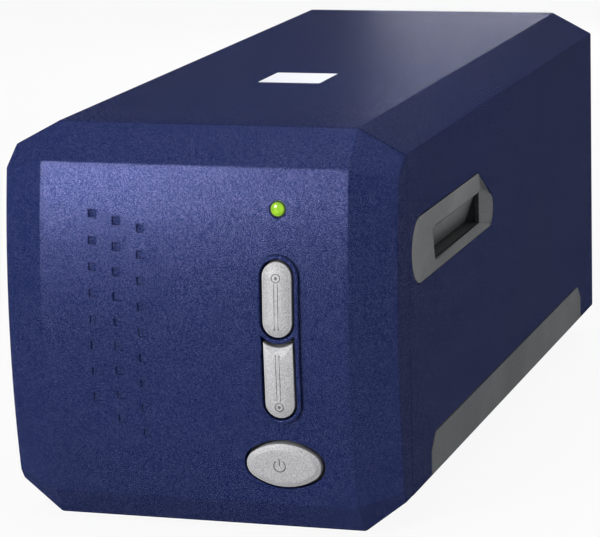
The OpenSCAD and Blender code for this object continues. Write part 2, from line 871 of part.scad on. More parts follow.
module top_cover() {
    color("midnightblue") difference() {
        union() {
            along_y(seam_y + seam_gap, back_y) difference() {
                housing_outline(0);
                housing_outline(wall);
                translate([-side_x - 1, base_z - 1]) square([body_w + 2, base_bevel_h + 1]);
                translate([-side_x + wall, side_low_z - 1]) square([body_w - 2 * wall, lip_l + 1]);
            }
            both_sides() for (y = [post_front_y, post_back_y]) cover_post(y);
        }
        both_sides() {
            along_x(side_x - wall - 1, side_x + 1) surround_outline(0);
            along_x(side_x - strip_t, side_x + 1) strip_outline(0);
            for (y = [post_front_y, post_back_y])
                translate([post_x, y, 0]) cylinder(r = thread_r, h = post_top_z - 3);
        }
        translate([-label_w / 2, label_y - label_w / 2, top_z - label_t]) cube([label_w, label_w, 1]);
        along_y(panel_y + tongue_y - slip, panel_y + tongue_y + tongue_t + slip)
            housing_outline(wall - tongue_l - slip);
    }
}

// Screw post that hangs from the side wall on two ribs
module cover_post(y) {
    translate([post_x, y, post_low_z()]) cylinder(r = post_r, h = post_top_z - post_low_z());
    block([post_x, y - 1, side_low_z + lip_l + 0.5], [side_x - wall + eps, y + 1, post_top_z]);
}

function post_low_z() = floor_z + 2.5;

module top_label() {
    color("white") translate([-label_w / 2 + slip, label_y - label_w / 2 + slip, top_z - label_t])
        cube([label_w - 2 * slip, label_w - 2 * slip, label_t]);
}

module base() {
    color("midnightblue") difference() {
        union() {
            along_y(seam_y + seam_gap, back_y) difference() {
                housing_outline(0);
                housing_outline(wall);
                translate([-side_x - 1, side_low_z]) square([body_w + 2, top_z]);
            }
            both_sides() {
                base_lip();
                guide_pads();
            }
            standoffs();
            both_sides() for (y = [post_front_y, post_back_y])
                translate([post_x, y, base_z]) cylinder(r = cover_head_r + 1.6, h = post_low_z() - base_z);
        }
        for (p = floor_screws()) translate([p.x, p.y, 0]) {
            cylinder(r = cover_screw_r + slip, h = side_low_z);
            cylinder(r = cover_head_r + slip, h = base_z + head_depth);
        }
        for (x = [-standoff_x, standoff_x], y = [standoff_front_y, standoff_back_y])
            translate([x, y, base_z + 1]) cylinder(r = board_screw_d / 2 - 0.2, h = board_z);
        along_y(panel_y + tongue_y - slip, panel_y + tongue_y + tongue_t + slip)
            housing_outline(wall - tongue_l - slip);
    }
}

// Screws from below: into the cover's posts, and into both rod blocks
function cover_screw_points() = [for (x = [-post_x, post_x], y = [post_front_y, post_back_y]) [x, y]];
function block_screw_points() = [for (x = [-block_screw_x, block_screw_x], y = [front_block_y, rear_block_y])
    [x, y + block_t / 2]];
function floor_screws() = concat(cover_screw_points(), block_screw_points());

// Ledge inside the cover's lower edge
module base_lip() {
    x1 = side_x - wall - slip;
    intersection() {
        along_y(seam_y + lip_l + 1, panel_y - 1) polygon([
            [x1 - lip_t, side_low_z - 3], [x1, side_low_z - 3], [x1, side_low_z + lip_l - 0.5],
            [x1 - lip_t, side_low_z + lip_l - 0.5]
        ]);
        along_y(-total_l, total_l) housing_outline(0.5);
    }
}

// Raised pads under the film guide's legs
module guide_pads() {
    for (y = guide_leg_ys()) intersection() {
        block([leg_x - 0.5, y - 0.5, base_z], [wing_x - 0.8, y + guide_leg_w + 0.5, pad_top_z]);
        along_y(-total_l, total_l) housing_outline(0.5);
    }
}

function guide_leg_ys() = [guide_front_y, guide_back_y - guide_leg_w];

module standoffs() {
    for (x = [-standoff_x, standoff_x], y = [standoff_front_y, standoff_back_y])
        translate([x, y, base_z + eps]) cylinder(r = standoff_r, h = board_z - eps);
}

module feet() {
    color("black") for (x = [-foot_x, foot_x], y = [foot_front_y, foot_back_y])
        translate([x, y, 0]) cylinder(r = foot_r, h = foot_h);
}

module floor_screw(p) {
    head_t = 1.8;
    translate([p.x, p.y, base_z + head_depth - head_t]) cylinder(r = cover_head_r, h = head_t);
    translate([p.x, p.y, base_z + head_depth - eps]) cylinder(r = thread_r, h = 11);
}

module cover_screws() {
    color("gray") for (p = cover_screw_points()) floor_screw(p);
}

// Back panel, whose tongue lies in a groove round the end of the cover and base
module rear_panel() {
    color("black") difference() {
        union() {
            along_y(panel_y, panel_back_y) housing_outline(wall + slip);
            along_y(panel_y + tongue_y, panel_y + tongue_y + tongue_t) housing_outline(wall - tongue_l);
        }
        block([usb_x - usb_w / 2 - slip, panel_y - 1, main_top_z - slip],
              [usb_x + usb_w / 2 + slip, back_y, main_top_z + usb_h + slip]);
        block([jack_x - jack_w / 2 - slip, panel_y - 1, main_top_z - slip],
              [jack_x + jack_w / 2 + slip, back_y, main_top_z + jack_h + slip]);
        for (i = [0:6]) block([-24, panel_y - 1, top_z - 40 + i * 4], [24, back_y, top_z - 38 + i * 4]);
    }
}

// Guide that carries the film holder from slot to slot
module film_guide() {
    z0 = slot_low_z - guide_t;
    z1 = slot_top_z + guide_t;
    color("dimgray") difference() {
        union() {
            difference() {
                block([-guide_x, guide_front_y - guide_t, z0], [guide_x, guide_back_y + guide_t, z1]);
                block([-guide_x - 1, guide_front_y, slot_low_z], [guide_x + 1, guide_back_y, slot_top_z]);
            }
            both_sides() {
                block([funnel_x - 6, guide_front_y, z0 - wing_t], [wing_x, guide_back_y, z0]);
                for (y = guide_leg_ys()) block([leg_x, y, pad_top_z], [leg_x + 2.8, y + guide_leg_w, z0]);
            }
        }
        block([-window_x, scan_home_y - scan_travel - window_margin, z0 - 1],
              [window_x, scan_home_y + window_margin, z1 + 1]);
        block([-detent_half_l - 0.5, guide_back_y - 1, slot_low_z + detent_margin - 0.6],
              [detent_half_l + 0.5, guide_back_y + guide_t + 1, slot_top_z - detent_margin + 0.6]);
    }
}

// Bowed leaf that clicks into the film holder's notches, with a flat tab at each end
module holder_detent() {
    bulge = guide_t + 0.7;
    leaf_t = 0.4;
    leaf_h = slot_h - 2 * detent_margin;
    leaf_r = (detent_half_l ^ 2 + bulge ^ 2) / (2 * bulge);
    y = guide_back_y + guide_t;
    color("silver") translate([0, y, slot_low_z + detent_margin]) {
        linear_extrude(height = leaf_h) intersection() {
            translate([0.2 - detent_half_l, -bulge - 1]) square([2 * detent_half_l - 0.4, bulge + 2]);
            translate([0, leaf_r - bulge]) difference() {
                circle(r = leaf_r, $fn = fine);
                circle(r = leaf_r - leaf_t, $fn = fine);
            }
        }
        both_sides() translate([detent_half_l - 0.7, 0, 0]) cube([4.2, leaf_t, leaf_h]);
    }
}

// Upright block that holds both rods; its outline stays inside the housing wall
module rod_block(y) {
    intersection() {
        block([-block_x, y, 0], [block_x, y + block_t, block_top_z]);
        along_y(y, y + block_t) housing_outline(wall);
    }
}

module rod_bores(y) {
    for (x = [-rod_x, rod_x]) bar_y(x, rod_mid_z, rod_r + run_gap, y - 1, y + block_t + 1);
    both_sides() translate([block_screw_x, y + block_t / 2, 0]) cylinder(r = thread_r, h = floor_z + 13);
}

module front_rod_block() {
    color("silver") difference() {
        rod_block(front_block_y);
        rod_bores(front_block_y);
        bar_y(screw_x, screw_mid_z, bearing_r, front_block_y - 1, front_block_y + block_t + 1);
        block([-12, front_block_y - 1, 0], [12, front_block_y + block_t + 1, floor_z + 4]);
    }
}

module rear_rod_block() {
    color("silver") difference() {
        rod_block(rear_block_y);
        rod_bores(rear_block_y);
        bar_y(screw_x, screw_mid_z, shaft_r + 2, rear_block_y - 1, rear_block_y + block_t + 1);
        block([-arch_x, rear_block_y - 1, 0], [arch_x, rear_block_y + block_t + 1, arch_top_z]);
        for (x = [-motor_ear_x, motor_ear_x])
            bar_y(screw_x + x, screw_mid_z, 1.2, rear_block_y + 1, rear_block_y + block_t + 1);
    }
}

module block_screws() {
    color("gray") {
        for (p = block_screw_points()) floor_screw(p);
        for (x = [-motor_ear_x, motor_ear_x]) {
            bar_y(screw_x + x, screw_mid_z, 1.15, rear_block_y + 1.5, motor_y + motor_plate_t + eps);
            bar_y(screw_x + x, screw_mid_z, 2.4, motor_y + motor_plate_t, motor_y + motor_plate_t + 1.6);
        }
    }
}

module guide_rod(x) {
    color("silver") bar_y(x, rod_mid_z, rod_r, front_block_y, rear_block_y + block_t);
}

module guide_rod_left() { guide_rod(-rod_x); }
module guide_rod_right() { guide_rod(rod_x); }

module screw_bearing() {
    color("goldenrod") difference() {
        union() {
            bar_y(screw_x, screw_mid_z, bearing_r - run_gap, front_block_y, front_block_y + block_t);
            bar_y(screw_x, screw_mid_z, bearing_r + 1, front_block_y + block_t, front_block_y + block_t + 1);
        }
        bar_y(screw_x, screw_mid_z, shaft_r + run_gap, front_block_y - 1, front_block_y + block_t + 2);
    }
}

module lead_screw() {
    y0 = front_block_y + block_t + 1.3;
    y1 = rear_block_y - 1;
    color("silver") {
        bar_y(screw_x, screw_mid_z, shaft_r, front_block_y + 0.5, rotor_y + rotor_l + 2);
        bar_y(screw_x, screw_mid_z, screw_r, y0, y1);
    }
}

module motor_rotor() {
    color("darkgray") difference() {
        bar_y(screw_x, screw_mid_z, rotor_r, rotor_y, rotor_y + rotor_l);
        bar_y(screw_x, screw_mid_z, shaft_r, rotor_y - 1, rotor_y + rotor_l + 1);
    }
}

module stepper_motor() {
    color("gray") difference() {
        union() {
            bar_y(screw_x, screw_mid_z, motor_d / 2, motor_y, motor_y + motor_l);
            along_y(motor_y, motor_y + motor_plate_t) {
                for (x = [-motor_ear_x, motor_ear_x]) translate([screw_x + x, screw_mid_z]) circle(r = 3.5);
                translate([screw_x - motor_ear_x, screw_mid_z - 3.5]) square([2 * motor_ear_x, 7]);
            }
        }
        bar_y(screw_x, screw_mid_z, rotor_r + 0.5, rotor_y - 0.5, rotor_y + rotor_l + 0.5);
        bar_y(screw_x, screw_mid_z, shaft_r + 0.15, motor_y - 1, rotor_y + rotor_l + 2.5);
        for (x = [-motor_ear_x, motor_ear_x])
            bar_y(screw_x + x, screw_mid_z, 1.3, motor_y - 1, motor_y + 2);
    }
}

// Cast carriage: a trough under the film guide and an arm over it
module carriage_frame() {
    color("dimgray") difference() {
        union() {
            difference() {
                block([-half_w, tub_front_y, tub_low_z], [half_w, tub_back_y, tub_top_z]);
                block([-inner_w, tub_front_y + carriage_wall, tub_low_z + carriage_wall],
                      [inner_w, sensor_wall_y, tub_top_z + 1]);
            }
            both_sides() carriage_side();
            mirror_seat();
            lens_saddle();
            block([-half_w, tub_front_y, arm_low_z], [half_w, web_y + web_l, arm_low_z + arm_t]);
            carriage_lug(front_lug_y);
            carriage_lug(rear_lug_y);
            carriage_fork();
            home_flag();
        }
        block([-lamp_w / 2 - slip, scan_home_y - lamp_l / 2 - slip, arm_low_z - 1],
              [lamp_w / 2 + slip, scan_home_y + lamp_l / 2 + slip, arm_low_z + arm_t + 1]);
        block([-sensor_w / 2 - 1, sensor_wall_y - 1, optic_z - sensor_h / 2 - 0.5],
              [sensor_w / 2 + 1, tub_back_y + 1, optic_z + sensor_h / 2 + 0.5]);
        for (y = [front_lug_y, rear_lug_y]) bar_y(-rod_x, rod_mid_z, bush_r, y - 1, y + lug_l + 1);
        bar_y(screw_x, screw_mid_z, screw_r + 0.8, tub_front_y - 1, tub_back_y + 1);
        for (p = sensor_holes()) bar_y(p.x, p.y, board_screw_d / 2 - 0.2, sensor_wall_y + 0.4, tub_back_y + 1);
        for (x = [-clamp_screw_x(), clamp_screw_x()])
            translate([x, lens_y + lens_l / 2, optic_z - 5]) cylinder(r = 1, h = 6);
        cable_notch();
    }
}

function clamp_screw_x() = lens_r + 4;
function sensor_holes() = [for (x = [-1, 1], z = [sensor_board_low + 3, sensor_board_high - 3])
    [x * (sensor_board_w / 2 - 3), z]];

// Pillar and arm rib on one side
module carriage_side() {
    block([half_w - 8, web_y, tub_top_z - 3], [half_w, web_y + web_l, arm_low_z + eps]);
    block([half_w - carriage_wall, tub_front_y, arm_low_z], [half_w, web_y + web_l, arm_low_z + arm_t + 4]);
}

// Vane on the right side that shades the home sensor
module home_flag() {
    block([half_w - eps, flag_y, tub_low_z], [flag_x, flag_y + flag_l, tub_low_z + 3]);
    block([flag_x - flag_t, flag_y, main_top_z + 6], [flag_x, flag_y + flag_l, tub_low_z + 3]);
}

// Cheeks that hold the mirror at 45 degrees
module mirror_seat() {
    reach = mirror_l / 2 / sqrt(2);
    back = mirror_shift;
    both_sides() along_x(mirror_w / 2 - 5, inner_w + eps) polygon([
        [scan_home_y - reach - back, optic_z + reach - back],
        [scan_home_y - reach - back, tub_low_z + 1],
        [scan_home_y + reach - back, tub_low_z + 1],
        [scan_home_y + reach - back, optic_z - reach - back]
    ]);
}

module lens_saddle() {
    difference() {
        block([-saddle_x, lens_y + 3, tub_low_z + 1], [saddle_x, lens_y + lens_l - 3, optic_z]);
        bar_y(0, optic_z, lens_r + run_gap, lens_y, lens_y + lens_l);
    }
}

module carriage_lug(y) {
    block([-rod_x, y, rod_mid_z - 4], [-half_w + eps, y + lug_l, rod_mid_z + 4]);
    bar_y(-rod_x, rod_mid_z, hub_r, y, y + lug_l);
}

// Fork that follows the right rod
module carriage_fork() {
    difference() {
        block([half_w - eps, fork_y, rod_mid_z - rod_r - 3], [rod_x + 5, fork_y + 12, rod_mid_z + rod_r + 3]);
        block([rod_x - rod_r - 0.4, fork_y - 1, rod_mid_z - rod_r - run_gap],
              [rod_x + 6, fork_y + 13, rod_mid_z + rod_r + run_gap]);
    }
}

// Notch in the trough's back edge for the flat cable
module cable_notch() {
    block([-9, sensor_wall_y - 1, tub_low_z - 1], [9, tub_back_y + 1, tub_low_z + 1.6]);
}

module carriage_bushes() {
    color("goldenrod") for (y = [front_lug_y, rear_lug_y]) difference() {
        bar_y(-rod_x, rod_mid_z, bush_r, y, y + lug_l);
        bar_y(-rod_x, rod_mid_z, rod_r + run_gap, y - 1, y + lug_l + 1);
    }
}

module drive_nut() {
    color("ivory") difference() {
        union() {
            bar_y(screw_x, screw_mid_z, nut_r, nut_y, nut_y + nut_l);
            block([screw_x, nut_y, screw_mid_z - nut_r], [-half_w, nut_y + nut_l, screw_mid_z + nut_r]);
        }
        bar_y(screw_x, screw_mid_z, screw_r + run_gap, nut_y - 1, nut_y + nut_l + 1);
    }
}

// Lamp trough that hangs in the arm by its flange
module lamp_housing() {
    color("black") difference() {
        union() {
            block([-lamp_w / 2, scan_home_y - lamp_l / 2, lamp_z],
                  [lamp_w / 2, scan_home_y + lamp_l / 2, lamp_z + lamp_h]);
            block([-lamp_w / 2 + 3, scan_home_y - lamp_l / 2 - 3, arm_low_z + arm_t],
                  [lamp_w / 2 - 3, scan_home_y + lamp_l / 2 + 3, arm_low_z + arm_t + 1.2]);
        }
        block([-lamp_w / 2 + 1.5, scan_home_y - lamp_l / 2 + 1.5, lamp_z - 1],
              [lamp_w / 2 - 1.5, scan_home_y + lamp_l / 2 - 1.5, lamp_z + lamp_h - 1.5]);
    }
}

module lamp_board() {
    color("darkgreen") block(
        [-lamp_w / 2 + 1.7, scan_home_y - lamp_l / 2 + 1.7, lamp_z + lamp_h - 1.5 - board_t],
        [lamp_w / 2 - 1.7, scan_home_y + lamp_l / 2 - 1.7, lamp_z + lamp_h - 1.5]);
}

module lamp_diffuser() {
    color("white") block([-lamp_w / 2 + 1.7, scan_home_y - lamp_l / 2 + 1.7, lamp_z + 0.2],
                         [lamp_w / 2 - 1.7, scan_home_y + lamp_l / 2 - 1.7, lamp_z + 2.2]);
}

module mirror_glass() {
    translate([0, scan_home_y, optic_z]) rotate([-45, 0, 0])
        translate([-mirror_w / 2, -mirror_l / 2, -mirror_t]) cube([mirror_w, mirror_l, mirror_t]);
}

module lens_barrel() {
    color("black") difference() {
        bar_y(0, optic_z, lens_r, lens_y, lens_y + lens_l);
        bar_y(0, optic_z, lens_r - 2, lens_y - 1, lens_y + lens_l + 1);
    }
}

module lens_glass() {
    color("lightcyan") for (y = [lens_y + 1, lens_y + lens_l - 4])
        bar_y(0, optic_z, lens_r - 2, y, y + 3);
}

// Strap over the lens barrel
module lens_clamp() {
    y0 = lens_y + 6;
    y1 = lens_y + lens_l - 6;
    color("silver") difference() {
        union() {
            bar_y(0, optic_z, lens_r + 1.2, y0, y1);
            block([-saddle_x + 1, y0, optic_z], [saddle_x - 1, y1, optic_z + 1.2]);
        }
        bar_y(0, optic_z, lens_r, y0 - 1, y1 + 1);
        block([-saddle_x, y0 - 1, optic_z - lens_d], [saddle_x, y1 + 1, optic_z]);
        for (x = [-clamp_screw_x(), clamp_screw_x()])
            translate([x, lens_y + lens_l / 2, optic_z - 1]) cylinder(r = 1.2, h = 4);
    }
}

module sensor_board() {
    color("darkgreen") difference() {
        block([-sensor_board_w / 2, tub_back_y, sensor_board_low],
              [sensor_board_w / 2, tub_back_y + board_t, sensor_board_high]);
        for (p = sensor_holes()) bar_y(p.x, p.y, board_screw_d / 2 + slip, tub_back_y - 1, tub_back_y + 3);
    }
}

module image_sensor() {
    color("darkgray") block([-sensor_w / 2, tub_back_y - sensor_t, optic_z - sensor_h / 2],
                            [sensor_w / 2, tub_back_y, optic_z + sensor_h / 2]);
}

module sensor_screws() {
    color("gray") {
        for (p = sensor_holes()) {
            bar_y(p.x, p.y, board_screw_d / 2 - 0.2, sensor_wall_y + 0.6, tub_back_y + board_t + eps);
            bar_y(p.x, p.y, board_screw_d, tub_back_y + board_t, tub_back_y + board_t + 1.4);
        }
        for (x = [-clamp_screw_x(), clamp_screw_x()]) translate([x, lens_y + lens_l / 2, optic_z]) {
            translate([0, 0, -4.5]) cylinder(r = 1, h = 6);
            translate([0, 0, 1.2]) cylinder(r = 1.9, h = 1.2);
        }
    }
}

module main_board() {
    color("darkgreen") difference() {
        block([-board_w / 2, board_front_y, main_low_z], [board_w / 2, board_back_y, main_top_z]);
        for (x = [-standoff_x, standoff_x], y = [standoff_front_y, standoff_back_y])
            translate([x, y, 0]) cylinder(r = board_screw_d / 2 + slip, h = top_z);
    }
}

module main_board_screws() {
    color("gray") for (x = [-standoff_x, standoff_x], y = [standoff_front_y, standoff_back_y]) {
        translate([x, y, base_z + 1.5]) cylinder(r = board_screw_d / 2 - 0.2, h = main_top_z - base_z - 1.5 + eps);
        translate([x, y, main_top_z]) cylinder(r = board_screw_d, h = 1.6);
    }
}

// Processor, memory, motor driver, supply parts and the two cable connectors
module board_chips() {
    y = board_front_y;
    color("black") {
        block([-standoff_x, y + 20, main_top_z], [20 - standoff_x, y + 40, main_top_z + 1.8]);
        block([14, y + 22, main_top_z], [26, y + 32, main_top_z + 1.4]);
        block([-30, y + 50, main_top_z], [-20, y + 60, main_top_z + 1.6]);
        block([-30, y + 84, main_top_z], [-18, y + 98, main_top_z + 4.8]);
        for (x = [20, 28]) translate([x, y + 50, main_top_z]) cylinder(r = 3, h = 4.8);
        block([-9, y + 2, main_top_z], [9, y + 6, main_top_z + 3]);
        block([-9, cable_start_y() - 4, main_top_z], [9, cable_start_y(), main_top_z + 3]);
    }
}

function cable_start_y() = sensor_wall_y - 46;

module usb_socket() {
    y0 = panel_back_y - usb_l;
    z0 = main_top_z;
    mid_z = z0 + usb_h / 2;
    color("silver") difference() {
        block([usb_x - usb_w / 2, y0, z0], [usb_x + usb_w / 2, panel_back_y, z0 + usb_h]);
        difference() {
            block([usb_x - usb_mouth_w / 2, panel_back_y - 10, mid_z - usb_mouth_h / 2],
                  [usb_x + usb_mouth_w / 2, back_y, mid_z + usb_mouth_h / 2]);
            block([usb_x - 2.8, panel_back_y - 11, mid_z - 1.6], [usb_x + 2.8, panel_back_y - 1.5, mid_z + 1.6]);
        }
    }
}

module power_jack() {
    y0 = panel_back_y - jack_l;
    z0 = main_top_z;
    mid_z = z0 + jack_h / 2;
    color("black") {
        difference() {
            block([jack_x - jack_w / 2, y0, z0], [jack_x + jack_w / 2, panel_back_y, z0 + jack_h]);
            bar_y(jack_x, mid_z, jack_bore_r, panel_back_y - 10, back_y);
        }
        bar_y(jack_x, mid_z, jack_pin_r, panel_back_y - 11, panel_back_y - 1);
    }
}

// Light gate for the flag on the carriage's right side
module home_sensor() {
    x = flag_x - flag_t / 2;
    y = flag_y - 1;
    color("black") difference() {
        block([x - 4, y, main_top_z], [x + 4, y + flag_l + 2, tub_low_z - 3]);
        block([x - 1.2, y - 1, main_top_z + 3], [x + 1.2, y + flag_l + 3, tub_low_z]);
    }
}

// Flat cable from the button board, over the bezel's lip and under the front block, to the main board
module button_cable() {
    t = 0.4;
    y0 = button_board_back;
    z = floor_z + slip + lip_t + 0.3;
    color("lightgray") {
        block([button_x - 14, y0, z], [button_x - 2, y0 + t, button_board_low + 6]);
        block([-9, y0, z], [button_x - 2, y0 + 9, z + t]);
        block([-9, y0, z], [9, board_front_y - 2, z + t]);
        block([-9, board_front_y - 2 - t, z], [9, board_front_y - 2, main_top_z + 2.4]);
        block([-9, board_front_y - 2 - t, main_top_z + 2], [9, board_front_y + 2, main_top_z + 2.4]);
    }
}

// Flat cable from the main board to the sensor board, folded once behind the trough
module sensor_cable() {
    t = 0.4;
    z0 = main_top_z + 1.2;
    turn_r = 8;
    turn_y = tub_back_y + board_t + 3 - turn_r;
    turn_z = z0 + turn_r;
    color("lightgray") {
        block([-7, cable_start_y(), z0], [7, turn_y + eps, z0 + t]);
        along_x(-7, 7) intersection() {
            translate([turn_y, turn_z - turn_r]) square([turn_r, turn_r]);
            translate([turn_y, turn_z]) difference() {
                circle(r = turn_r);
                circle(r = turn_r - t);
            }
        }
        block([-7, turn_y + turn_r - t, turn_z], [7, turn_y + turn_r, sensor_board_low + 8]);
        block([-7, tub_back_y + board_t, sensor_board_low + 6], [7, turn_y + turn_r, sensor_board_low + 8]);
    }
}

front_bezel();
top_cover();
base();
rear_panel();
feet();
top_label();
status_lens();
side_strip_right();
side_strip_left();
slot_bezel_right();
slot_bezel_left();
flap_pin_right();
flap_pin_left();
dust_flap_right();
dust_flap_left();
flap_spring_right();
flap_spring_left();
scan_button_1();
scan_button_2();
power_button();
switch_plunger_1();
switch_plunger_2();
switch_plunger_power();
button_board();
switch_bodies();
button_board_screws();
button_cable();
film_guide();
holder_detent();
front_rod_block();
rear_rod_block();
block_screws();
guide_rod_left();
guide_rod_right();
screw_bearing();
stepper_motor();
motor_rotor();
lead_screw();
carriage_frame();
carriage_bushes();
drive_nut();
lamp_housing();
lamp_board();
lamp_diffuser();
color("lightsteelblue") mirror_glass();  // mirror
lens_barrel();
lens_glass();
lens_clamp();
sensor_board();
image_sensor();
sensor_screws();
main_board();
board_chips();
main_board_screws();
usb_socket();
power_jack();
home_sensor();
sensor_cable();
cover_screws();
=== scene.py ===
"""Looks of a desktop film scanner: bevelled shells, painted and moulded plastics, studio.

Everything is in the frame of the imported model: X to the right, Y to the back, Z up, with the
bowed front facing -Y. Lengths are in metres, except in the sections whose heading says
millimetres; those scale their points by MM.
"""

import json
import math

import bmesh
import bpy
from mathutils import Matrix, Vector, geometry

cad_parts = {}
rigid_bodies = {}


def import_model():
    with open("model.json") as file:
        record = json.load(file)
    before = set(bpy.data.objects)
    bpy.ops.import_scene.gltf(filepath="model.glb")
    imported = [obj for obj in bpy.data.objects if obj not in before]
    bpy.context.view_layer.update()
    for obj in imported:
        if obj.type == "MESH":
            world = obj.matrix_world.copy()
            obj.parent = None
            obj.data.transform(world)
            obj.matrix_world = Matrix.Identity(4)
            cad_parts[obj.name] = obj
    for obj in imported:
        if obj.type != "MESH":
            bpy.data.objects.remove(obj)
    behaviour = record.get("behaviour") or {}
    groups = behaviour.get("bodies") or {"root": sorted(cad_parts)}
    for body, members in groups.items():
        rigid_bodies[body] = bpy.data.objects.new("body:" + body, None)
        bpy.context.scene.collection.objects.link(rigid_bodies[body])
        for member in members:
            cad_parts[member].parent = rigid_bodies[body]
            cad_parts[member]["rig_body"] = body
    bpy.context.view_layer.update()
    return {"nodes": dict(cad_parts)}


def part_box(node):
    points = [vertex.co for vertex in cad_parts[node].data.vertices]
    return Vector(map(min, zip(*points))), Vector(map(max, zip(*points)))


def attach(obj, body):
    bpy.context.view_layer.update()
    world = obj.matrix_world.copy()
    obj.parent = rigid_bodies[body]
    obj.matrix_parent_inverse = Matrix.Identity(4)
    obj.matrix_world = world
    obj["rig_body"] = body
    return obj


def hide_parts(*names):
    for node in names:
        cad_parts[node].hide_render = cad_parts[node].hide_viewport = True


MM = 0.001

CAMERA_PLACE = (0.28430, -0.91898, 0.26028)
CAMERA_TURN = (77.7398, 1.5565, 17.4120)  # degrees
CAMERA_LENS = 178.37  # millimetres, like the sensor's width
SENSOR_WIDTH = 36.0
CLIP_NEAR = 0.05
CLIP_FAR = 60.0

WHITE = (1.0, 1.0, 1.0)
AMBIENT_COLOUR = (0.93, 0.95, 1.0)
AMBIENT_STRENGTH = 0.25
FLOOR_COLOUR = (0.62, 0.62, 0.63)
FLOOR_GLOW = 0.92  # share of white in what the floor shows to the rays that see it
FLOOR_HALF = 6.0

# Area lamps: name, place, target, width, height, watts.
LAMPS = (
    ("key_left", (-0.80, -1.72, 0.40), (0.0, -0.1, 0.08), 0.36, 0.36, 35.0),
    ("slope_soft", (-0.45, -1.30, 1.20), (0.0, -0.1, 0.1), 0.6, 0.4, 5.0),
    ("top_soft", (0.0, 0.1, 1.7), (0.0, 0.0, 0.0), 1.0, 1.0, 10.0),
    ("right_fill", (0.8, -0.5, 0.95), (0.03, 0.0, 0.06), 0.5, 0.5, 2.4),
    ("right_low", (1.35, 0.30, 0.20), (0.05, -0.1, 0.07), 0.3, 0.3, 2.6),
    ("rear_low", (-0.15, 0.95, 0.24), (0.0, 0.1, 0.1), 0.2, 0.12, 1.6),
)


# ---------------------------------------------------------------- scene set-up


def clear_scene():
    for item in list(bpy.data.objects):
        bpy.data.objects.remove(item, do_unlink=True)


def new_object(name, data):
    """An object in the scene, at the origin."""
    item = bpy.data.objects.new(name, data)
    bpy.context.scene.collection.objects.link(item)
    return item


def make_camera():
    data = bpy.data.cameras.new("camera")
    data.lens = CAMERA_LENS
    data.sensor_fit = "HORIZONTAL"
    data.sensor_width = SENSOR_WIDTH
    data.clip_start = CLIP_NEAR
    data.clip_end = CLIP_FAR
    camera = new_object("camera", data)
    camera.location = CAMERA_PLACE
    camera.rotation_euler = [math.radians(angle) for angle in CAMERA_TURN]
    bpy.context.scene.camera = camera


def area_lamp(name, place, target, width, height, power):
    """A rectangular lamp that shines from its place on a target."""
    data = bpy.data.lights.new(name, "AREA")
    data.shape = "RECTANGLE"
    data.size = width
    data.size_y = height
    data.energy = power
    lamp = new_object(name, data)
    lamp.location = place
    away = Vector(target) - lamp.location
    lamp.rotation_euler = away.to_track_quat("-Z", "Y").to_euler()
    lamp.visible_camera = False


def seen_rays(tree):
    """1 for camera, glossy and transmission rays, which see the pale background."""
    path = tree.nodes.new("ShaderNodeLightPath")
    seen = path.outputs["Is Camera Ray"]
    for kind in ("Is Glossy Ray", "Is Transmission Ray"):
        either = tree.nodes.new("ShaderNodeMath")
        either.operation = "MAXIMUM"
        tree.links.new(seen, either.inputs[0])
        tree.links.new(path.outputs[kind], either.inputs[1])
        seen = either.outputs[0]
    return seen


def plain_shader(tree, kind, colour, strength=None):
    """The output of a new shader node of that kind."""
    node = tree.nodes.new(kind)
    node.inputs["Color"].default_value = (*colour, 1.0)
    if strength is not None:
        node.inputs["Strength"].default_value = strength
    return node.outputs[0]


def show_mix(tree, output, share, first, second):
    """Sends two shaders to the tree's output, the second by its share."""
    mix = tree.nodes.new("ShaderNodeMixShader")
    end = tree.nodes.new(output)
    for source, socket in zip((share, first, second), mix.inputs):
        tree.links.new(source, socket)
    tree.links.new(mix.outputs[0], end.inputs[0])


def make_world():
    world = bpy.data.worlds.new("studio")
    bpy.context.scene.world = world
    world.use_nodes = True
    tree = world.node_tree
    tree.nodes.clear()
    ambient = plain_shader(tree, "ShaderNodeBackground", AMBIENT_COLOUR, AMBIENT_STRENGTH)
    backdrop = plain_shader(tree, "ShaderNodeBackground", WHITE, 1.0)
    show_mix(tree, "ShaderNodeOutputWorld", seen_rays(tree), ambient, backdrop)


def floor_material():
    material = bpy.data.materials.new("floor_pale")
    material.use_nodes = True
    tree = material.node_tree
    tree.nodes.clear()
    paper = plain_shader(tree, "ShaderNodeBsdfDiffuse", FLOOR_COLOUR)
    glow = plain_shader(tree, "ShaderNodeEmission", WHITE, 1.0)
    share = tree.nodes.new("ShaderNodeMath")
    share.operation = "MULTIPLY"
    share.inputs[1].default_value = FLOOR_GLOW
    tree.links.new(seen_rays(tree), share.inputs[0])
    show_mix(tree, "ShaderNodeOutputMaterial", share.outputs[0], paper, glow)
    return material


def make_floor():
    half = FLOOR_HALF
    corners = [(-half, -half, 0), (half, -half, 0), (half, half, 0), (-half, half, 0)]
    mesh = bpy.data.meshes.new("floor")
    mesh.from_pydata(corners, [], [(0, 1, 2, 3)])
    mesh.materials.append(floor_material())
    floor = new_object("floor", mesh)


def make_studio():
    make_world()
    make_floor()
    for lamp in LAMPS:
        area_lamp(*lamp)
    bpy.context.scene.view_settings.view_transform = "Standard"


# ---------------------------------------------------------------- materials

EVEN = (1.0, 1.0, 1.0)
GRAIN_TURN = (0.5, 0.7, 0.3)  # radians; keeps the noise's lattice off the flat faces

# Parts of a noise's range that a ramp runs over.
NARROW = (0.35, 0.65)
WIDE = (0.3, 0.7)

FLAKE_RANGE = (0.605, 0.79)  # the noise's peaks only, so the flakes stay apart
FLAKE_COLOUR = (0.48, 0.52, 1.0)

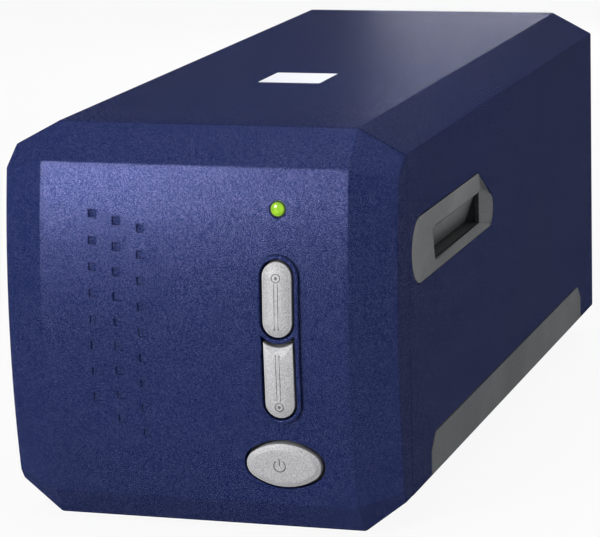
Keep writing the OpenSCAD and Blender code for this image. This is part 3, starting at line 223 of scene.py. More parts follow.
# Moulded plastics: dark and light screen colour, roughness, specular level, grain.
MOULDED = {
    "surround_grey": ((84, 86, 87), (102, 104, 105), 0.5, 0.08, 1800.0),
    "strip_grey": ((78, 81, 83), (92, 95, 96), 0.6, 0.08, 1800.0),
    "flap_grey": ((52, 54, 55), (64, 66, 67), 0.5, 0.25, 1800.0),
    "black_plastic": ((22, 23, 25), (34, 35, 38), 0.55, 0.4, 1400.0),
    "frame_black": ((26, 27, 29), (40, 41, 43), 0.6, 0.4, 1200.0),
    "nut_white": ((205, 203, 196), (226, 224, 218), 0.45, 0.4, 1800.0),
    "chip_black": ((18, 18, 19), (30, 30, 31), 0.5, 0.4, 2600.0),
    "sensor_ceramic": ((150, 146, 152), (176, 171, 176), 0.4, 0.4, 1800.0),
    "diffuser_white": ((232, 234, 236), (246, 247, 248), 0.35, 0.4, 1800.0),
    "cable_grey": ((120, 122, 126), (150, 152, 155), 0.5, 0.4, 1800.0),
}

# Metals: dark and light linear colour, roughness, grain, and how far it is drawn out.
METALS = {
    "block_alloy": ((0.42, 0.43, 0.44), (0.58, 0.59, 0.6), 0.42, 700.0, EVEN),
    "ground_steel": ((0.56, 0.57, 0.58), (0.72, 0.73, 0.74), 0.2, 900.0, (1.0, 0.04, 1.0)),
    "motor_steel": ((0.4, 0.4, 0.41), (0.55, 0.55, 0.56), 0.36, 900.0, EVEN),
    "bush_brass": ((0.58, 0.4, 0.16), (0.76, 0.56, 0.26), 0.3, 900.0, EVEN),
}


class Maker:
    """Builds one procedural material around a Principled shader."""

    def __init__(self, name):
        self.material = bpy.data.materials.new(name)
        self.material.use_nodes = True
        self.tree = self.material.node_tree
        self.shader = self.tree.nodes["Principled BSDF"]
        self.place = self.tree.nodes.new("ShaderNodeTexCoord").outputs["Object"]

    def set(self, **values):
        """Sets what is the same all over; an underscore stands for a space."""
        for key, value in values.items():
            self.shader.inputs[key.replace("_", " ")].default_value = value

    def put(self, key, value):
        """Links a texture to one of the shader's sockets."""
        self.tree.links.new(value, self.shader.inputs[key])

    def noise(self, scale, detail=2.0, roughness=0.5, stretch=EVEN):
        node = self.tree.nodes.new("ShaderNodeTexNoise")
        node.inputs["Scale"].default_value = scale
        node.inputs["Detail"].default_value = detail
        node.inputs["Roughness"].default_value = roughness
        mapping = self.tree.nodes.new("ShaderNodeMapping")
        mapping.inputs["Scale"].default_value = stretch
        if stretch == EVEN:
            mapping.inputs["Rotation"].default_value = GRAIN_TURN
        self.tree.links.new(self.place, mapping.inputs["Vector"])
        self.tree.links.new(mapping.outputs[0], node.inputs["Vector"])
        return node.outputs["Fac"]

    def cells(self, scale):
        node = self.tree.nodes.new("ShaderNodeTexVoronoi")
        node.inputs["Scale"].default_value = scale
        self.tree.links.new(self.place, node.inputs["Vector"])
        return node.outputs["Distance"]

    def spread(self, value, low, high, span=WIDE):
        """Maps a span of a texture's values to low..high."""
        node = self.tree.nodes.new("ShaderNodeMapRange")
        node.inputs["From Min"].default_value = span[0]
        node.inputs["From Max"].default_value = span[1]
        node.inputs["To Min"].default_value = low
        node.inputs["To Max"].default_value = high
        self.tree.links.new(value, node.inputs["Value"])
        return node.outputs["Result"]

    def colours(self, value, first, second, span=NARROW):
        """Runs from the first colour to the second over a span of a texture's values."""
        node = self.tree.nodes.new("ShaderNodeValToRGB")
        for stop, position, colour in zip(node.color_ramp.elements, span, (first, second)):
            stop.position = position
            stop.color = (*colour, 1.0)
        self.tree.links.new(value, node.inputs["Fac"])
        return node.outputs["Color"]

    def mix(self, share, first, second, blend="MIX"):
        """Mixes two colours; each of the three may be a texture."""
        node = self.tree.nodes.new("ShaderNodeMix")
        node.data_type = "RGBA"
        node.blend_type = blend
        factor, colour_a, colour_b = (node.inputs[index] for index in (0, 6, 7))
        for socket, value in ((factor, share), (colour_a, first), (colour_b, second)):
            if hasattr(value, "is_linked"):
                self.tree.links.new(value, socket)
            elif hasattr(value, "__len__"):
                socket.default_value = (*value, 1.0)
            else:
                socket.default_value = value
        return node.outputs[2]

    def bump(self, value, depth, strength):
        """Bump from a texture, by a depth in metres."""
        node = self.tree.nodes.new("ShaderNodeBump")
        node.inputs["Distance"].default_value = depth
        node.inputs["Strength"].default_value = strength
        self.tree.links.new(value, node.inputs["Height"])
        self.put("Normal", node.outputs["Normal"])


def srgb(red, green, blue):
    """Linear colour from 0..255 screen values."""

    def line(value):
        c = value / 255.0
        return c / 12.92 if c <= 0.04045 else ((c + 0.055) / 1.055) ** 2.4

    return (line(red), line(green), line(blue))


def body_paint():
    """Dark blue paint with fine lavender flakes, which carry the glow of the studio lamps."""
    m = Maker("paint_blue")
    grain = m.noise(14000.0, 1.0)
    ripple = m.noise(2600.0, 2.0, 0.6)
    cloud = m.noise(9.0, 3.0)
    flake = m.spread(grain, 0.0, 1.0, FLAKE_RANGE)
    ground = m.colours(cloud, srgb(0, 14, 52), srgb(0, 18, 62), WIDE)
    m.put("Base Color", m.mix(flake, ground, FLAKE_COLOUR))
    m.put("Metallic", flake)
    m.set(Specular_IOR_Level=0.0)
    m.put("Roughness", m.spread(cloud, 0.29, 0.33))
    m.bump(ripple, 0.000004, 0.5)
    return m.material


def moulded(name, dark, light, rough, level, grain):
    """Spark-textured moulded plastic: fine grain, faint clouding, a little polish from use."""
    m = Maker(name)
    fine = m.noise(grain, 3.0, 0.6)
    cloud = m.noise(14.0)
    rub = m.noise(40.0, 3.0)
    colour = m.colours(fine, srgb(*dark), srgb(*light))
    shade = m.colours(cloud, (0.9, 0.9, 0.9), WHITE, WIDE)
    m.put("Base Color", m.mix(1.0, colour, shade, "MULTIPLY"))
    m.set(Specular_IOR_Level=level)
    m.put("Roughness", m.spread(rub, rough - 0.07, rough + 0.07))
    m.bump(fine, 0.00003, 0.6)
    return m.material


def circuit_board():
    """Green lacquer over the fine cells of tracks and weave."""
    m = Maker("board_green")
    cloud = m.noise(120.0, 3.0)
    weave = m.cells(420.0)
    lacquer = m.colours(cloud, srgb(8, 60, 34), srgb(20, 92, 52), WIDE)
    tracks = m.colours(weave, (0.75, 0.85, 0.75), WHITE, (0.2, 0.5))
    m.put("Base Color", m.mix(1.0, lacquer, tracks, "MULTIPLY"))
    m.put("Roughness", m.spread(cloud, 0.25, 0.4))
    m.bump(weave, 0.00002, 0.4)
    return m.material


def one_grain(name, noise, dark, light, rough, bump=None, span=NARROW, **values):
    """A finish whose colour, roughness and bump all follow one noise.

    noise, rough and bump are what Maker.noise, Maker.spread and Maker.bump take after the name
    or the texture.
    """
    m = Maker(name)
    grain = m.noise(*noise)
    m.put("Base Color", m.colours(grain, dark, light, span))
    m.set(**values)
    m.put("Roughness", m.spread(grain, *rough))
    if bump:
        m.bump(grain, *bump)
    return m.material


def small_finishes():
    """Button paint, label paper, status lens, foot rubber, mirror coat and lens glass."""
    return [
        one_grain(
            "button_silver",
            (3200.0, 2.0, 0.6),
            srgb(126, 126, 128),
            srgb(170, 169, 170),
            (0.46, 0.58),
            (0.00002, 0.5),
            Metallic=0.15,
            Specular_IOR_Level=0.25,
        ),
        one_grain(
            "label_white",
            (900.0, 4.0, 0.6),
            srgb(226, 229, 236),
            srgb(240, 242, 247),
            (0.32, 0.42),
            (0.00001, 0.4),
            WIDE,
            Specular_IOR_Level=0.4,
        ),
        one_grain(
            "status_green",
            (500.0,),
            srgb(92, 142, 6),
            srgb(140, 186, 22),
            (0.1, 0.2),
            span=WIDE,
            Transmission_Weight=0.1,
            IOR=1.49,
            Emission_Strength=0.12,
            Emission_Color=(*srgb(150, 210, 20), 1.0),
        ),
        one_grain(
            "foot_rubber",
            (1500.0, 3.0),
            (0.012, 0.012, 0.013),
            (0.03, 0.03, 0.031),
            (0.75, 0.92),
            (0.00005, 0.6),
        ),
        one_grain(
            "mirror_silver",
            (300.0,),
            (0.86, 0.87, 0.88),
            (0.93, 0.94, 0.95),
            (0.02, 0.06),
            Metallic=1.0,
        ),
        one_grain(
            "lens_clear",
            (80.0, 1.0),
            (0.86, 0.9, 1.0),
            (0.95, 0.92, 1.0),
            (0.02, 0.05),
            Transmission_Weight=0.92,
            IOR=1.52,
        ),
    ]


def make_materials():
    """Every finish, by the name of the record's material slot."""
    made = {material.name: material for material in small_finishes()}
    made["housing_blue"] = body_paint()
    made["board_green"] = circuit_board()
    for name, facts in MOULDED.items():
        made[name] = moulded(name, *facts)
    for name, (dark, light, rough, grain, stretch) in METALS.items():
        noise = (grain, 3.0, 0.6, stretch)
        wear = (rough - 0.06, rough + 0.08)
        made[name] = one_grain(name, noise, dark, light, wear, (0.00001, 0.5), WIDE, Metallic=1.0)
    return made


# ---------------------------------------------------------------- pieces from the frame

ROUNDED_ANGLE = 24.0  # degrees; flatter edges than this stay as they are
ROUNDED_STEPS = 2
FLAT_ANGLE = 0.05  # degrees; faces that meet flatter than this become one
JOIN_DISTANCE = 0.000002
NORMAL_LENGTH = 0.5  # an exact normal is longer, a missing one shorter
NORMAL_MATCH = 0.8  # cosine between an exact normal and its face, below which it is stray

# In millimetres: the axis of the front's bow, which runs along X, and the buttons' middle line.
BOW_Y = 151.0
BOW_Z = 59.6
BUTTON_X = 26.0

# Places on the front bezel and the top cover, and shares of the width on the bezel.
BEZEL_BACK_Y = -0.1155
BEZEL_SIDE_X = 0.044
BEZEL_HEIGHTS = (0.013, 0.106)
RIM_REACH = 0.0067  # the raised rim round the buttons, to either side of their middle line
RIM_HEIGHTS = (0.0345, 0.0853)
RIM_R = 0.2859
RIM_SHARE = 0.9
INNER_SHARE = 0.3
COVER_SIDE_X = 0.0575
COVER_TOP_Z = 0.1165
LABEL_REACH = 0.0125
LABEL_Y = (-0.041, -0.0145)


def normal_layers(bm):
    """The three float layers that carry the exact normals through the changes."""
    return [bm.loops.layers.float["normal_" + axis] for axis in "xyz"]


def drop_normal_layers(bm):
    for axis in "xyz":
        bm.loops.layers.float.remove(bm.loops.layers.float["normal_" + axis])


def read_normal(loop, layers):
    return Vector([loop[layer] for layer in layers])


def write_normal(loop, layers, normal):
    for layer, part in zip(layers, normal):
        loop[layer] = part


def joined_mesh(node):
    """The node's mesh with shared corners and whole flat faces; its exact normals are kept."""
    source = frame["nodes"][node].data
    exact = [Vector(corner.vector) for corner in source.corner_normals]
    bm = bmesh.new()
    bm.from_mesh(source)
    for axis in "xyz":
        bm.loops.layers.float.new("normal_" + axis)
    layers = normal_layers(bm)
    bm.faces.ensure_lookup_table()
    for face, polygon in zip(bm.faces, source.polygons):
        for step, loop in enumerate(face.loops):
            write_normal(loop, layers, exact[polygon.loop_start + step])
    bmesh.ops.remove_doubles(bm, verts=bm.verts, dist=JOIN_DISTANCE)
    bmesh.ops.dissolve_limit(
        bm,
        angle_limit=math.radians(FLAT_ANGLE),
        use_dissolve_boundaries=False,
        verts=bm.verts,
        edges=bm.edges,
    )
    return bm


def new_piece(bm, name):
    """A smoothly shaded object from a mesh under construction, which is freed."""
    mesh = bpy.data.meshes.new(name)
    bm.to_mesh(mesh)
    bm.free()
    for polygon in mesh.polygons:
        polygon.use_smooth = True
    return new_object(name, mesh)


def piece_with_normals(bm, name, normals):
    """A piece whose corners get exact normals."""
    piece = new_piece(bm, name)
    stale = piece.data.attributes.get("custom_normal")
    if stale is not None:
        piece.data.attributes.remove(stale)
    piece.data.normals_split_custom_set(normals)
    return piece


def outward_piece(bm, name, sharp=None):
    """A piece with its faces turned outwards; edges above sharp degrees stay sharp."""
    bmesh.ops.recalc_face_normals(bm, faces=bm.faces)
    piece = new_piece(bm, name)
    if sharp is not None:
        piece.data.set_sharp_from_angle(angle=math.radians(sharp))
    return piece


def finish_piece(piece, node, slot, instead=True):
    """Gives a piece a finish and the node's body; with instead it takes the node's place."""
    piece.data.materials.clear()
    piece.data.materials.append(finishes[slot])
    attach(piece, frame["nodes"][node]["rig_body"])
    if instead:
        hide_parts(node)


def paint_frame():
    """Puts the procedural finishes on the CAD nodes that stay."""
    for node, item in frame["nodes"].items():
        for slot in item.material_slots:
            slot.material = finishes[slots[node]]


def round_edges(bm, width, share):
    """Bevels the sharp edges, each by its share of the width, and marks the new faces."""
    marks = bm.faces.layers.int.new("rounding")
    groups = {}
    for edge in bm.edges:
        if len(edge.link_faces) != 2:
            continue
        if edge.calc_face_angle(0.0) > math.radians(ROUNDED_ANGLE):
            part = share((edge.verts[0].co + edge.verts[1].co) / 2)
            if part > 0.0:
                groups.setdefault(part, []).append(edge)
    for part, edges in groups.items():
        made = bmesh.ops.bevel(
            bm,
            geom=[edge for edge in edges if edge.is_valid],
            offset=width * part,
            offset_type="OFFSET",
            segments=ROUNDED_STEPS,
            profile=0.5,
            affect="EDGES",
            clamp_overlap=False,
            loop_slide=True,
        )
        for face in made["faces"]:
            face[marks] = 1


def face_normals(bm):
    """Exact normals on the old faces; a rounding takes them over from its neighbours."""
    layers = normal_layers(bm)
    marks = bm.faces.layers.int["rounding"]
    known = {}
    for face in bm.faces:
        if face[marks]:
            continue
        for loop in face.loops:
            normal = read_normal(loop, layers)
            missing = normal.length < NORMAL_LENGTH
            if missing or normal.normalized().dot(face.normal) < NORMAL_MATCH:
                normal = face.normal.copy()
            normal.normalize()
            known.setdefault(loop.vert.index, []).append(normal)
            write_normal(loop, layers, normal)
    result = []
    for face in bm.faces:
        for loop in face.loops:
            near = known.get(loop.vert.index)
            if not face[marks]:
                result.append(read_normal(loop, layers))
            elif near:
                result.append(max(near, key=lambda normal: normal.dot(face.normal)))
            else:
                result.append(loop.vert.normal.copy())
    return result


def rounded(node, width, share):
    """A copy of a CAD node with its sharp edges rounded, which then stands for the node.

    share(spot) gives the part of the width for an edge whose middle is there, from 0 to 1.
    """
    bm = joined_mesh(node)
    round_edges(bm, width, share)
    bm.verts.index_update()
    bm.normal_update()
    normals = face_normals(bm)
    bm.faces.layers.int.remove(bm.faces.layers.int["rounding"])
    drop_normal_layers(bm)
    piece = piece_with_normals(bm, node + "_rounded", normals)
    finish_piece(piece, node, slots[node])


def bezel_share(spot):
    """Full rounding on the outer edges, less on the button rim, dimples and holes."""
    if spot.y > BEZEL_BACK_Y:
        return 0.0
    low, high = BEZEL_HEIGHTS
    if abs(spot.x) > BEZEL_SIDE_X or spot.z > high or spot.z < low:
        return 1.0
    low, high = RIM_HEIGHTS
    beside = abs(spot.x - BUTTON_X * MM) < RIM_REACH and low < spot.z < high
    from_axis = math.hypot(spot.y - BOW_Y * MM, spot.z - BOW_Z * MM)
    return RIM_SHARE if beside and from_axis > RIM_R else INNER_SHARE


def cover_share(spot):
    """Rounding on the cover's outer edges, but not on the label's recess."""
    by_label = abs(spot.x) < LABEL_REACH and LABEL_Y[0] < spot.y < LABEL_Y[1]
    outer = abs(spot.x) > COVER_SIDE_X or spot.z > COVER_TOP_Z
    return 1.0 if outer and not by_label else 0.0


def whole_share(spot):
    """The same rounding on every edge."""
    return 1.0


# What is rounded, how much, and which share of that each edge gets.
ROUNDINGS = (
    ("front_bezel", 0.0005, bezel_share),
    ("top_cover", 0.0004, cover_share),
    ("side_strip_right", 0.0002, whole_share),
    ("side_strip_left", 0.0002, whole_share),
    ("top_label", 0.00008, whole_share),
)


def make_shells():
    for node, width, share in ROUNDINGS:
        rounded(node, width, share)


# ---------------------------------------------------------------- shared shapes


def arc(across, up, radius, start, end, steps):
    """Points on an arc from one angle to another, in degrees from the first axis to the second."""
    points = []
    for step in range(steps + 1):
        turn = math.radians(start + (end - start) * step / steps)
        points.append((across + radius * math.cos(turn), up + radius * math.sin(turn)))
    return points


def join_rings(bm, first, second):
    """A band of faces between two rings of as many vertices."""
    count = len(first)
    for step in range(count):
        after = (step + 1) % count
        bm.faces.new((first[step], first[after], second[after], second[step]))


def join_rows(bm, rows):
    """A closed bar along rows of vertices."""
    for first, second in zip(rows, rows[1:]):
        join_rings(bm, first, second)
    bm.faces.new(rows[0])
    bm.faces.new(rows[-1])


# ---------------------------------------------------------------- slot surrounds, in millimetres

FACE_X = 59.96
FACE_DEPTH = 1.96
TOP_Z = 91.0
LOW_Z = 71.4
SLOT_TOP_Z = 83.4
SLOT_LOW_Z = 73.6
SLOT_BACK_Y = -25.4
REAR_Y = -14.6
LIP_DEPTH = 0.5
DISH_X = 57.9  # the CAD face's dish lies farther out than this
DISH_FACING = 0.3  # and its faces point outwards at least this much

# The outline, as y, z and a round part's radius: front end, rear end, and the peak between
# the straight top and the slant, whose outward direction is SLANT.
SCOOP = (-102.4, 81.2, 9.8)
REAR = (-20.1, 76.9, 5.5)
PEAK = (-33.3, 91.0)
SLANT = (0.498, 0.867)
SLANT_Z = 81.6  # the slant runs into the rear end here
EDGE_STEEPNESS = 2.2

# The scoop is a bowl round this point, which lies in the slot.
BOWL = (-79.0, 78.6)
BOWL_DEPTH = 1.86
BOWL_FRONT = 0.5  # the bowl starts this far in front of the point
BOWL_CLEAR = 9.0  # deeper than any other ramp, so the bowl doesn't count there
BOWL_REACH = 80.0

# The slot's front end, where the scoop's lip bulges over it.
LIP = (
    (-81.5, 73.6),
    (-80.9, 75.0),
    (-80.7, 76.6),
    (-80.9, 78.4),
    (-81.4, 80.0),
    (-82.3, 81.8),
    (-83.4, SLOT_TOP_Z),
)

GRID_PITCH = 0.5
GRID_START_Y = -112.3
GRID_LENGTH = 100.0
CUT_EPSILON = 0.0001


def surround_loop():
    """Outline of a surround, as (y, z) points."""
    front = arc(*SCOOP, 90, 270, 40)
    rear = arc(*REAR, -90, 60, 24)
    return front + rear + [PEAK]


def opening_loop():
    """Edge of the slot, as (y, z) points."""
    return [*LIP, (SLOT_BACK_Y, SLOT_TOP_Z), (SLOT_BACK_Y, SLOT_LOW_Z)]


def top_ramp(y, z):
    return FACE_DEPTH * (TOP_Z - z) / (TOP_Z - SLOT_TOP_Z)


def low_ramp(y, z):
    return FACE_DEPTH * (z - LOW_Z) / (SLOT_LOW_Z - LOW_Z)


def rear_ramp(y, z):
    return FACE_DEPTH * (REAR_Y - y) / (REAR_Y - SLOT_BACK_Y)


def rear_edge(y, z):
    """Steep step just inside the slanted and the round part of the outline."""
    inside = -((y - PEAK[0]) * SLANT[0] + (z - PEAK[1]) * SLANT[1])
    if y > REAR[0] and z < SLANT_Z:
        inside = min(inside, REAR[2] - math.hypot(y - REAR[0], z - REAR[1]))
    return EDGE_STEEPNESS * max(inside, 0.0)


def in_scoop(y, z):
    """Whether a point of the scoop lies inside the outline."""
    if y < SCOOP[0]:
        return math.hypot(y - SCOOP[0], z - SCOOP[1]) < SCOOP[2]
    return LOW_Z < z < TOP_Z


def bowl(y, z):
    """Hollow scoop: a bowl that rises from the slot to the outline's round end."""
    dy = y - BOWL[0]
    dz = z - BOWL[1]
    if dy > -BOWL_FRONT:
        return BOWL_CLEAR
    reach = math.hypot(dy, dz)
    low = 0.0
    high = BOWL_REACH
    for _ in range(24):
        half = (low + high) / 2
        if in_scoop(BOWL[0] + dy / reach * half, BOWL[1] + dz / reach * half):
            low = half
        else:
            high = half
    share = min(reach / low, 1.0)
    return BOWL_DEPTH * (1 - share**3)


RAMPS = (top_ramp, low_ramp, rear_ramp, rear_edge, bowl)


def in_loop(y, z, loop):
    """Whether a point lies inside a closed outline."""
    inside = False
    for first, second in zip(loop, loop[1:] + loop[:1]):
        if (first[1] > z) != (second[1] > z):
            slope = (second[0] - first[0]) / (second[1] - first[1])
            if y < first[0] + (z - first[1]) * slope:
                inside = not inside
    return inside


def ramp_normal(ramp, y, z):
    """The direction that the face has on a ramp there, with X outwards."""
    step = 0.05
    slope_y = (ramp(y + step, z) - ramp(y - step, z)) / (2 * step)
    slope_z = (ramp(y, z + step) - ramp(y, z - step)) / (2 * step)
    return Vector((1.0, slope_y, slope_z)).normalized()


def surround_face():
    """The surround's face: its points as (x, y, z), and triangles of (point, normal) corners."""
    outer = surround_loop()
    inner = opening_loop()
    points = [Vector(point) for point in outer + inner]
    edges = []
    for start, loop in ((0, outer), (len(outer), inner)):
        count = len(loop)
        edges += [(start + i, start + (i + 1) % count) for i in range(count)]
    for row in range(1, int((TOP_Z - LOW_Z) / GRID_PITCH)):
        for column in range(1, int(GRID_LENGTH / GRID_PITCH)):
            y = GRID_START_Y + GRID_PITCH * (column + 0.5 * (row % 2))
            z = LOW_Z + GRID_PITCH * row
            if in_loop(y, z, outer) and not in_loop(y, z, inner):
                points.append(Vector((y, z)))
    flat, _, faces, _, _, _ = geometry.delaunay_2d_cdt(points, edges, [], 0, CUT_EPSILON)
    spots = []
    for corner in flat:
        depth = max(min(ramp(*corner) for ramp in RAMPS), 0.0)
        spots.append((FACE_X - depth, *corner))
    triangles = []
    for face in faces:
        y = sum(flat[i].x for i in face) / 3
        z = sum(flat[i].y for i in face) / 3
        if in_loop(y, z, inner) or not in_loop(y, z, outer):
            continue
        lowest = min(RAMPS, key=lambda ramp: ramp(y, z))
        triangles.append([(i, ramp_normal(lowest, *flat[i])) for i in face])
    return spots, triangles


def is_dish(face, side):
    """Whether a face of the CAD copy belongs to its dished front."""
    spot = face.calc_center_median() / MM
    return face.normal.x * side > DISH_FACING and spot.x * side > DISH_X


def painted_shade_pocket(node, side):
    """The CAD copy without its dished face, in black: painted shade inside the slot and a painted
    shadow line round the face.
    """
    bm = joined_mesh(node)
    stale = [face for face in bm.faces if is_dish(face, side)]
    bmesh.ops.delete(bm, geom=stale, context="FACES")
    layers = normal_layers(bm)
    normals = []
    for face in bm.faces:
        for loop in face.loops:
            normal = read_normal(loop, layers)
            normals.append(normal if normal.length > NORMAL_LENGTH else face.normal.copy())
    drop_normal_layers(bm)
    piece = piece_with_normals(bm, node + "_pocket", normals)
    # black plastic on this part of the grey moulding is painted shade
    finish_piece(piece, node, "black_plastic")


def surround(node, side, spots, triangles):
    """The surround's dished face with its lip round the slot; side is 1 or -1."""
    bm = bmesh.new()
    normals = []
    used = {}
    for triangle in triangles:
        for index, _ in triangle:
            if index not in used:
                x, y, z = spots[index]
                used[index] = bm.verts.new(Vector((x * side, y, z)) * MM)
        corners = [used[index].co for index, _ in triangle]
        turn = (corners[1] - corners[0]).cross(corners[2] - corners[0])
        if turn.x * side < 0:
            triangle = [triangle[0], triangle[2], triangle[1]]
        bm.faces.new([used[index] for index, _ in triangle])
        for _, normal in triangle:
            normals.append(Vector((normal.x * side, normal.y, normal.z)))
    inner = opening_loop()
    for first, second in zip(inner, inner[1:] + inner[:1]):
        corners = []
        for (y, z), deep in ((first, False), (second, False), (second, True), (first, True)):
            depth = min(ramp(y, z) for ramp in RAMPS)
            if deep:
                depth = max(depth, FACE_DEPTH) + LIP_DEPTH
            corners.append(bm.verts.new(Vector(((FACE_X - depth) * side, y, z)) * MM))
        face = bm.faces.new(corners)
        face.normal_update()
        normals += [face.normal.copy() for _ in corners]
    piece = piece_with_normals(bm, node + "_face", normals)
    finish_piece(piece, node, slots[node])


def make_surrounds():
    spots, triangles = surround_face()
    for node, side in (("slot_bezel_right", 1), ("slot_bezel_left", -1)):
        painted_shade_pocket(node, side)
        surround(node, side, spots, triangles)


# ---------------------------------------------------------------- buttons, in millimetres

FACE_R = 287.0  # the button faces follow a cylinder of this radius round the bow's axis
CAP_BACK = -128.2
STEM_OVERLAP = 0.2
BUTTON_R = 4.45
UPPER_HEIGHTS = (65.35, 78.45)  # centres of the upper button's round ends
LOWER_Z = 41.35
HOLLOW_R = 7.35
POWER_Z = 22.3
OVAL_WIDE = 11.3
OVAL_HIGH = 6.7
OVAL_END_R = 4.6
SCAN_EDGE_R = 0.35
SCAN_EDGE_DEPTH = 0.9
CROWN_POWER = 2.4
CROWN_STOP = 0.15  # the crown's last ring stays this far off the middle line
CROWN_LOW = 0.02  # and this much behind the front
POWER_EDGE_R = 0.25
POWER_EDGE_DEPTH = 1.0
POWER_BORDER = ((1.25, 0.2), (1.45, 0.1), (1.7, 0.06))  # inset and depth
POWER_FACE_DEPTH = 0.05
POWER_FACE_INSET = 2.7

MARK_R = 1.25
MARK_TUBE = 0.13
MARK_DEPTH = 0.08
BEAD_R = 0.45
RIDGE_X = 0.55
RIDGE_DEPTH = 0.07
RIDGE_SECTION = ((-0.12, 0.05), (-0.05, -0.07), (0.05, -0.07), (0.12, 0.05))  # across, deep

SYMBOL_X = 25.0
SYMBOL_DEPTH = 0.02
SYMBOL_SECTION = ((1.0, 0.05), (0.6, -0.04), (-0.6, -0.04), (-1.0, 0.05))  # half widths, deep
SYMBOL_HALF = 0.14
SYMBOL_PATHS = (arc(0, 0, 1.75, 125, 415, 36), [(0, 0.2), (0, 2.3)])

# The status lens and its black collar, which is painted shade in the groove round the dome: gaps
# to the CAD radius and depths behind the CAD front.
LENS_TURNS = 40
LENS_GAP = 0.02
LENS_STEP = ((LENS_GAP, 0.9), (0.3, 0.9))
DOME_GAP = 0.42
DOME_FOOT = 0.62
DOME_RISE = 0.6
COLLAR = ((LENS_GAP, 1.2), (LENS_GAP, 0.75), (0.4, 0.85))


def face_y(z):
    """Front of the button faces at height z."""
    return BOW_Y - math.sqrt(FACE_R**2 - (z - BOW_Z) ** 2)


def upper_outline(inset):
    """Outline of the upper scan button, moved inwards."""
    radius = BUTTON_R - inset
    low, high = UPPER_HEIGHTS
    return arc(BUTTON_X, high, radius, 0, 180, 20) + arc(BUTTON_X, low, radius, 180, 360, 20)


def lower_outline(inset):
    """Outline of the lower scan button, hollow on top, moved inwards."""
    radius = BUTTON_R - inset
    hollow = HOLLOW_R + inset
    reach = math.degrees(math.asin(radius / hollow))
    top = arc(BUTTON_X, UPPER_HEIGHTS[0], hollow, -90 + reach, -90 - reach, 16)
    return top + arc(BUTTON_X, LOWER_Z, radius, 180, 360, 20)


def power_outline(inset):
    """Four-arc oval of the power button, moved inwards."""
    a = OVAL_WIDE - OVAL_END_R
    b = OVAL_HIGH - OVAL_END_R
    k = (a * a - b * b) / (2 * b)
    flat_r = OVAL_HIGH + k - inset
    join = math.degrees(math.atan2(k, a))
    end_r = OVAL_END_R - inset
    points = arc(BUTTON_X + a, POWER_Z, end_r, -join, join, 12)
    points += arc(BUTTON_X, POWER_Z - k, flat_r, join, 180 - join, 16)[1:]
    points += arc(BUTTON_X - a, POWER_Z, end_r, 180 - join, 180 + join, 12)[1:]
    points += arc(BUTTON_X, POWER_Z + k, flat_r, 180 + join, 360 - join, 16)[1:-1]
    return points


def ring(bm, outline, depth):
    """A ring of vertices on the outline, that deep behind the button faces."""
    corners = []
    for x, z in outline:
        corners.append(bm.verts.new((x * MM, (face_y(z) + depth) * MM, z * MM)))
    return corners


def next_ring(bm, last, outline, depth):
    """A further ring, joined to the last one."""
    new = ring(bm, outline, depth)
    join_rings(bm, last, new)
    return new


def edge_rings(bm, outline, radius, top):
    """Back, side wall and rounded edge of a cap; gives the last ring."""
    last = [bm.verts.new((x * MM, CAP_BACK * MM, z * MM)) for x, z in outline(0.0)]
    bm.faces.new(last)
    steps = 5
    for step in range(steps + 1):
        turn = math.pi / 2 * step / steps
        inset = radius * (1 - math.cos(turn))
        depth = top + radius * (1 - math.sin(turn))
        last = next_ring(bm, last, outline(inset), depth)
    return last


def crown(bm, last, outline, start, end, height, top):
    """Cushion-shaped face that rises by height from the edge to the middle."""
    steps = 12
    for step in range(1, steps + 1):
        inset = start + (end - start) * step / steps
        rise = (1 - (1 - (inset - start) / (end - start)) ** CROWN_POWER) * height
        last = next_ring(bm, last, outline(inset), top - rise)
    bm.faces.new(last)


def stem(bm, node):
    """Adds the part of the CAD node behind the cap: its flange and plunger."""
    rest = bmesh.new()
    rest.from_mesh(frame["nodes"][node].data)
    bmesh.ops.bisect_plane(
        rest,
        geom=rest.verts[:] + rest.edges[:] + rest.faces[:],
        plane_co=(0, (CAP_BACK - STEM_OVERLAP) * MM, 0),
        plane_no=(0, -1, 0),
        clear_outer=True,
    )
    bmesh.ops.remove_doubles(rest, verts=rest.verts, dist=JOIN_DISTANCE)
    bmesh.ops.holes_fill(rest, edges=[edge for edge in rest.edges if edge.is_boundary])
    spare = bpy.data.meshes.new("spare")
    rest.to_mesh(spare)
    rest.free()
    bm.from_mesh(spare)
    bpy.data.meshes.remove(spare)


def button_piece(bm, node):
    """The cap with its stem, instead of the CAD button."""
    stem(bm, node)
    piece = outward_piece(bm, node + "_cap", sharp=35)
    finish_piece(piece, node, slots[node])


def round_mark(bm, z):
    """Fine raised ring with a bead in its middle, on the face of a button."""
    turns = 32
    sides = 8
    rows = []
    for turn in range(turns):
        across = math.tau * turn / turns
        row = []
        for side in range(sides):
            around = math.tau * side / sides
            out = MARK_R + MARK_TUBE * math.cos(around)
            x = BUTTON_X + out * math.cos(across)
            height = z + out * math.sin(across)
            y = face_y(height) + MARK_DEPTH - MARK_TUBE * math.sin(around)
            row.append(bm.verts.new((x * MM, y * MM, height * MM)))
        rows.append(row)
    for first, second in zip(rows, rows[1:] + rows[:1]):
        join_rings(bm, first, second)
    bead = bmesh.ops.create_uvsphere(bm, u_segments=16, v_segments=10, radius=BEAD_R * MM)
    for vert in bead["verts"]:
        vert.co.y *= 0.5
        vert.co += Vector((BUTTON_X, face_y(z) + MARK_DEPTH, z)) * MM


def ridge(bm, x, low, high):
    """Fine raised line on a button's face, from one height to another."""
    steps = 14
    rows = []
    for step in range(steps + 1):
        z = low + (high - low) * step / steps
        row = []
        for across, deep in RIDGE_SECTION:
            y = face_y(z) + RIDGE_DEPTH + deep
            row.append(bm.verts.new(((x + across) * MM, y * MM, z * MM)))
        rows.append(row)
    join_rows(bm, rows)


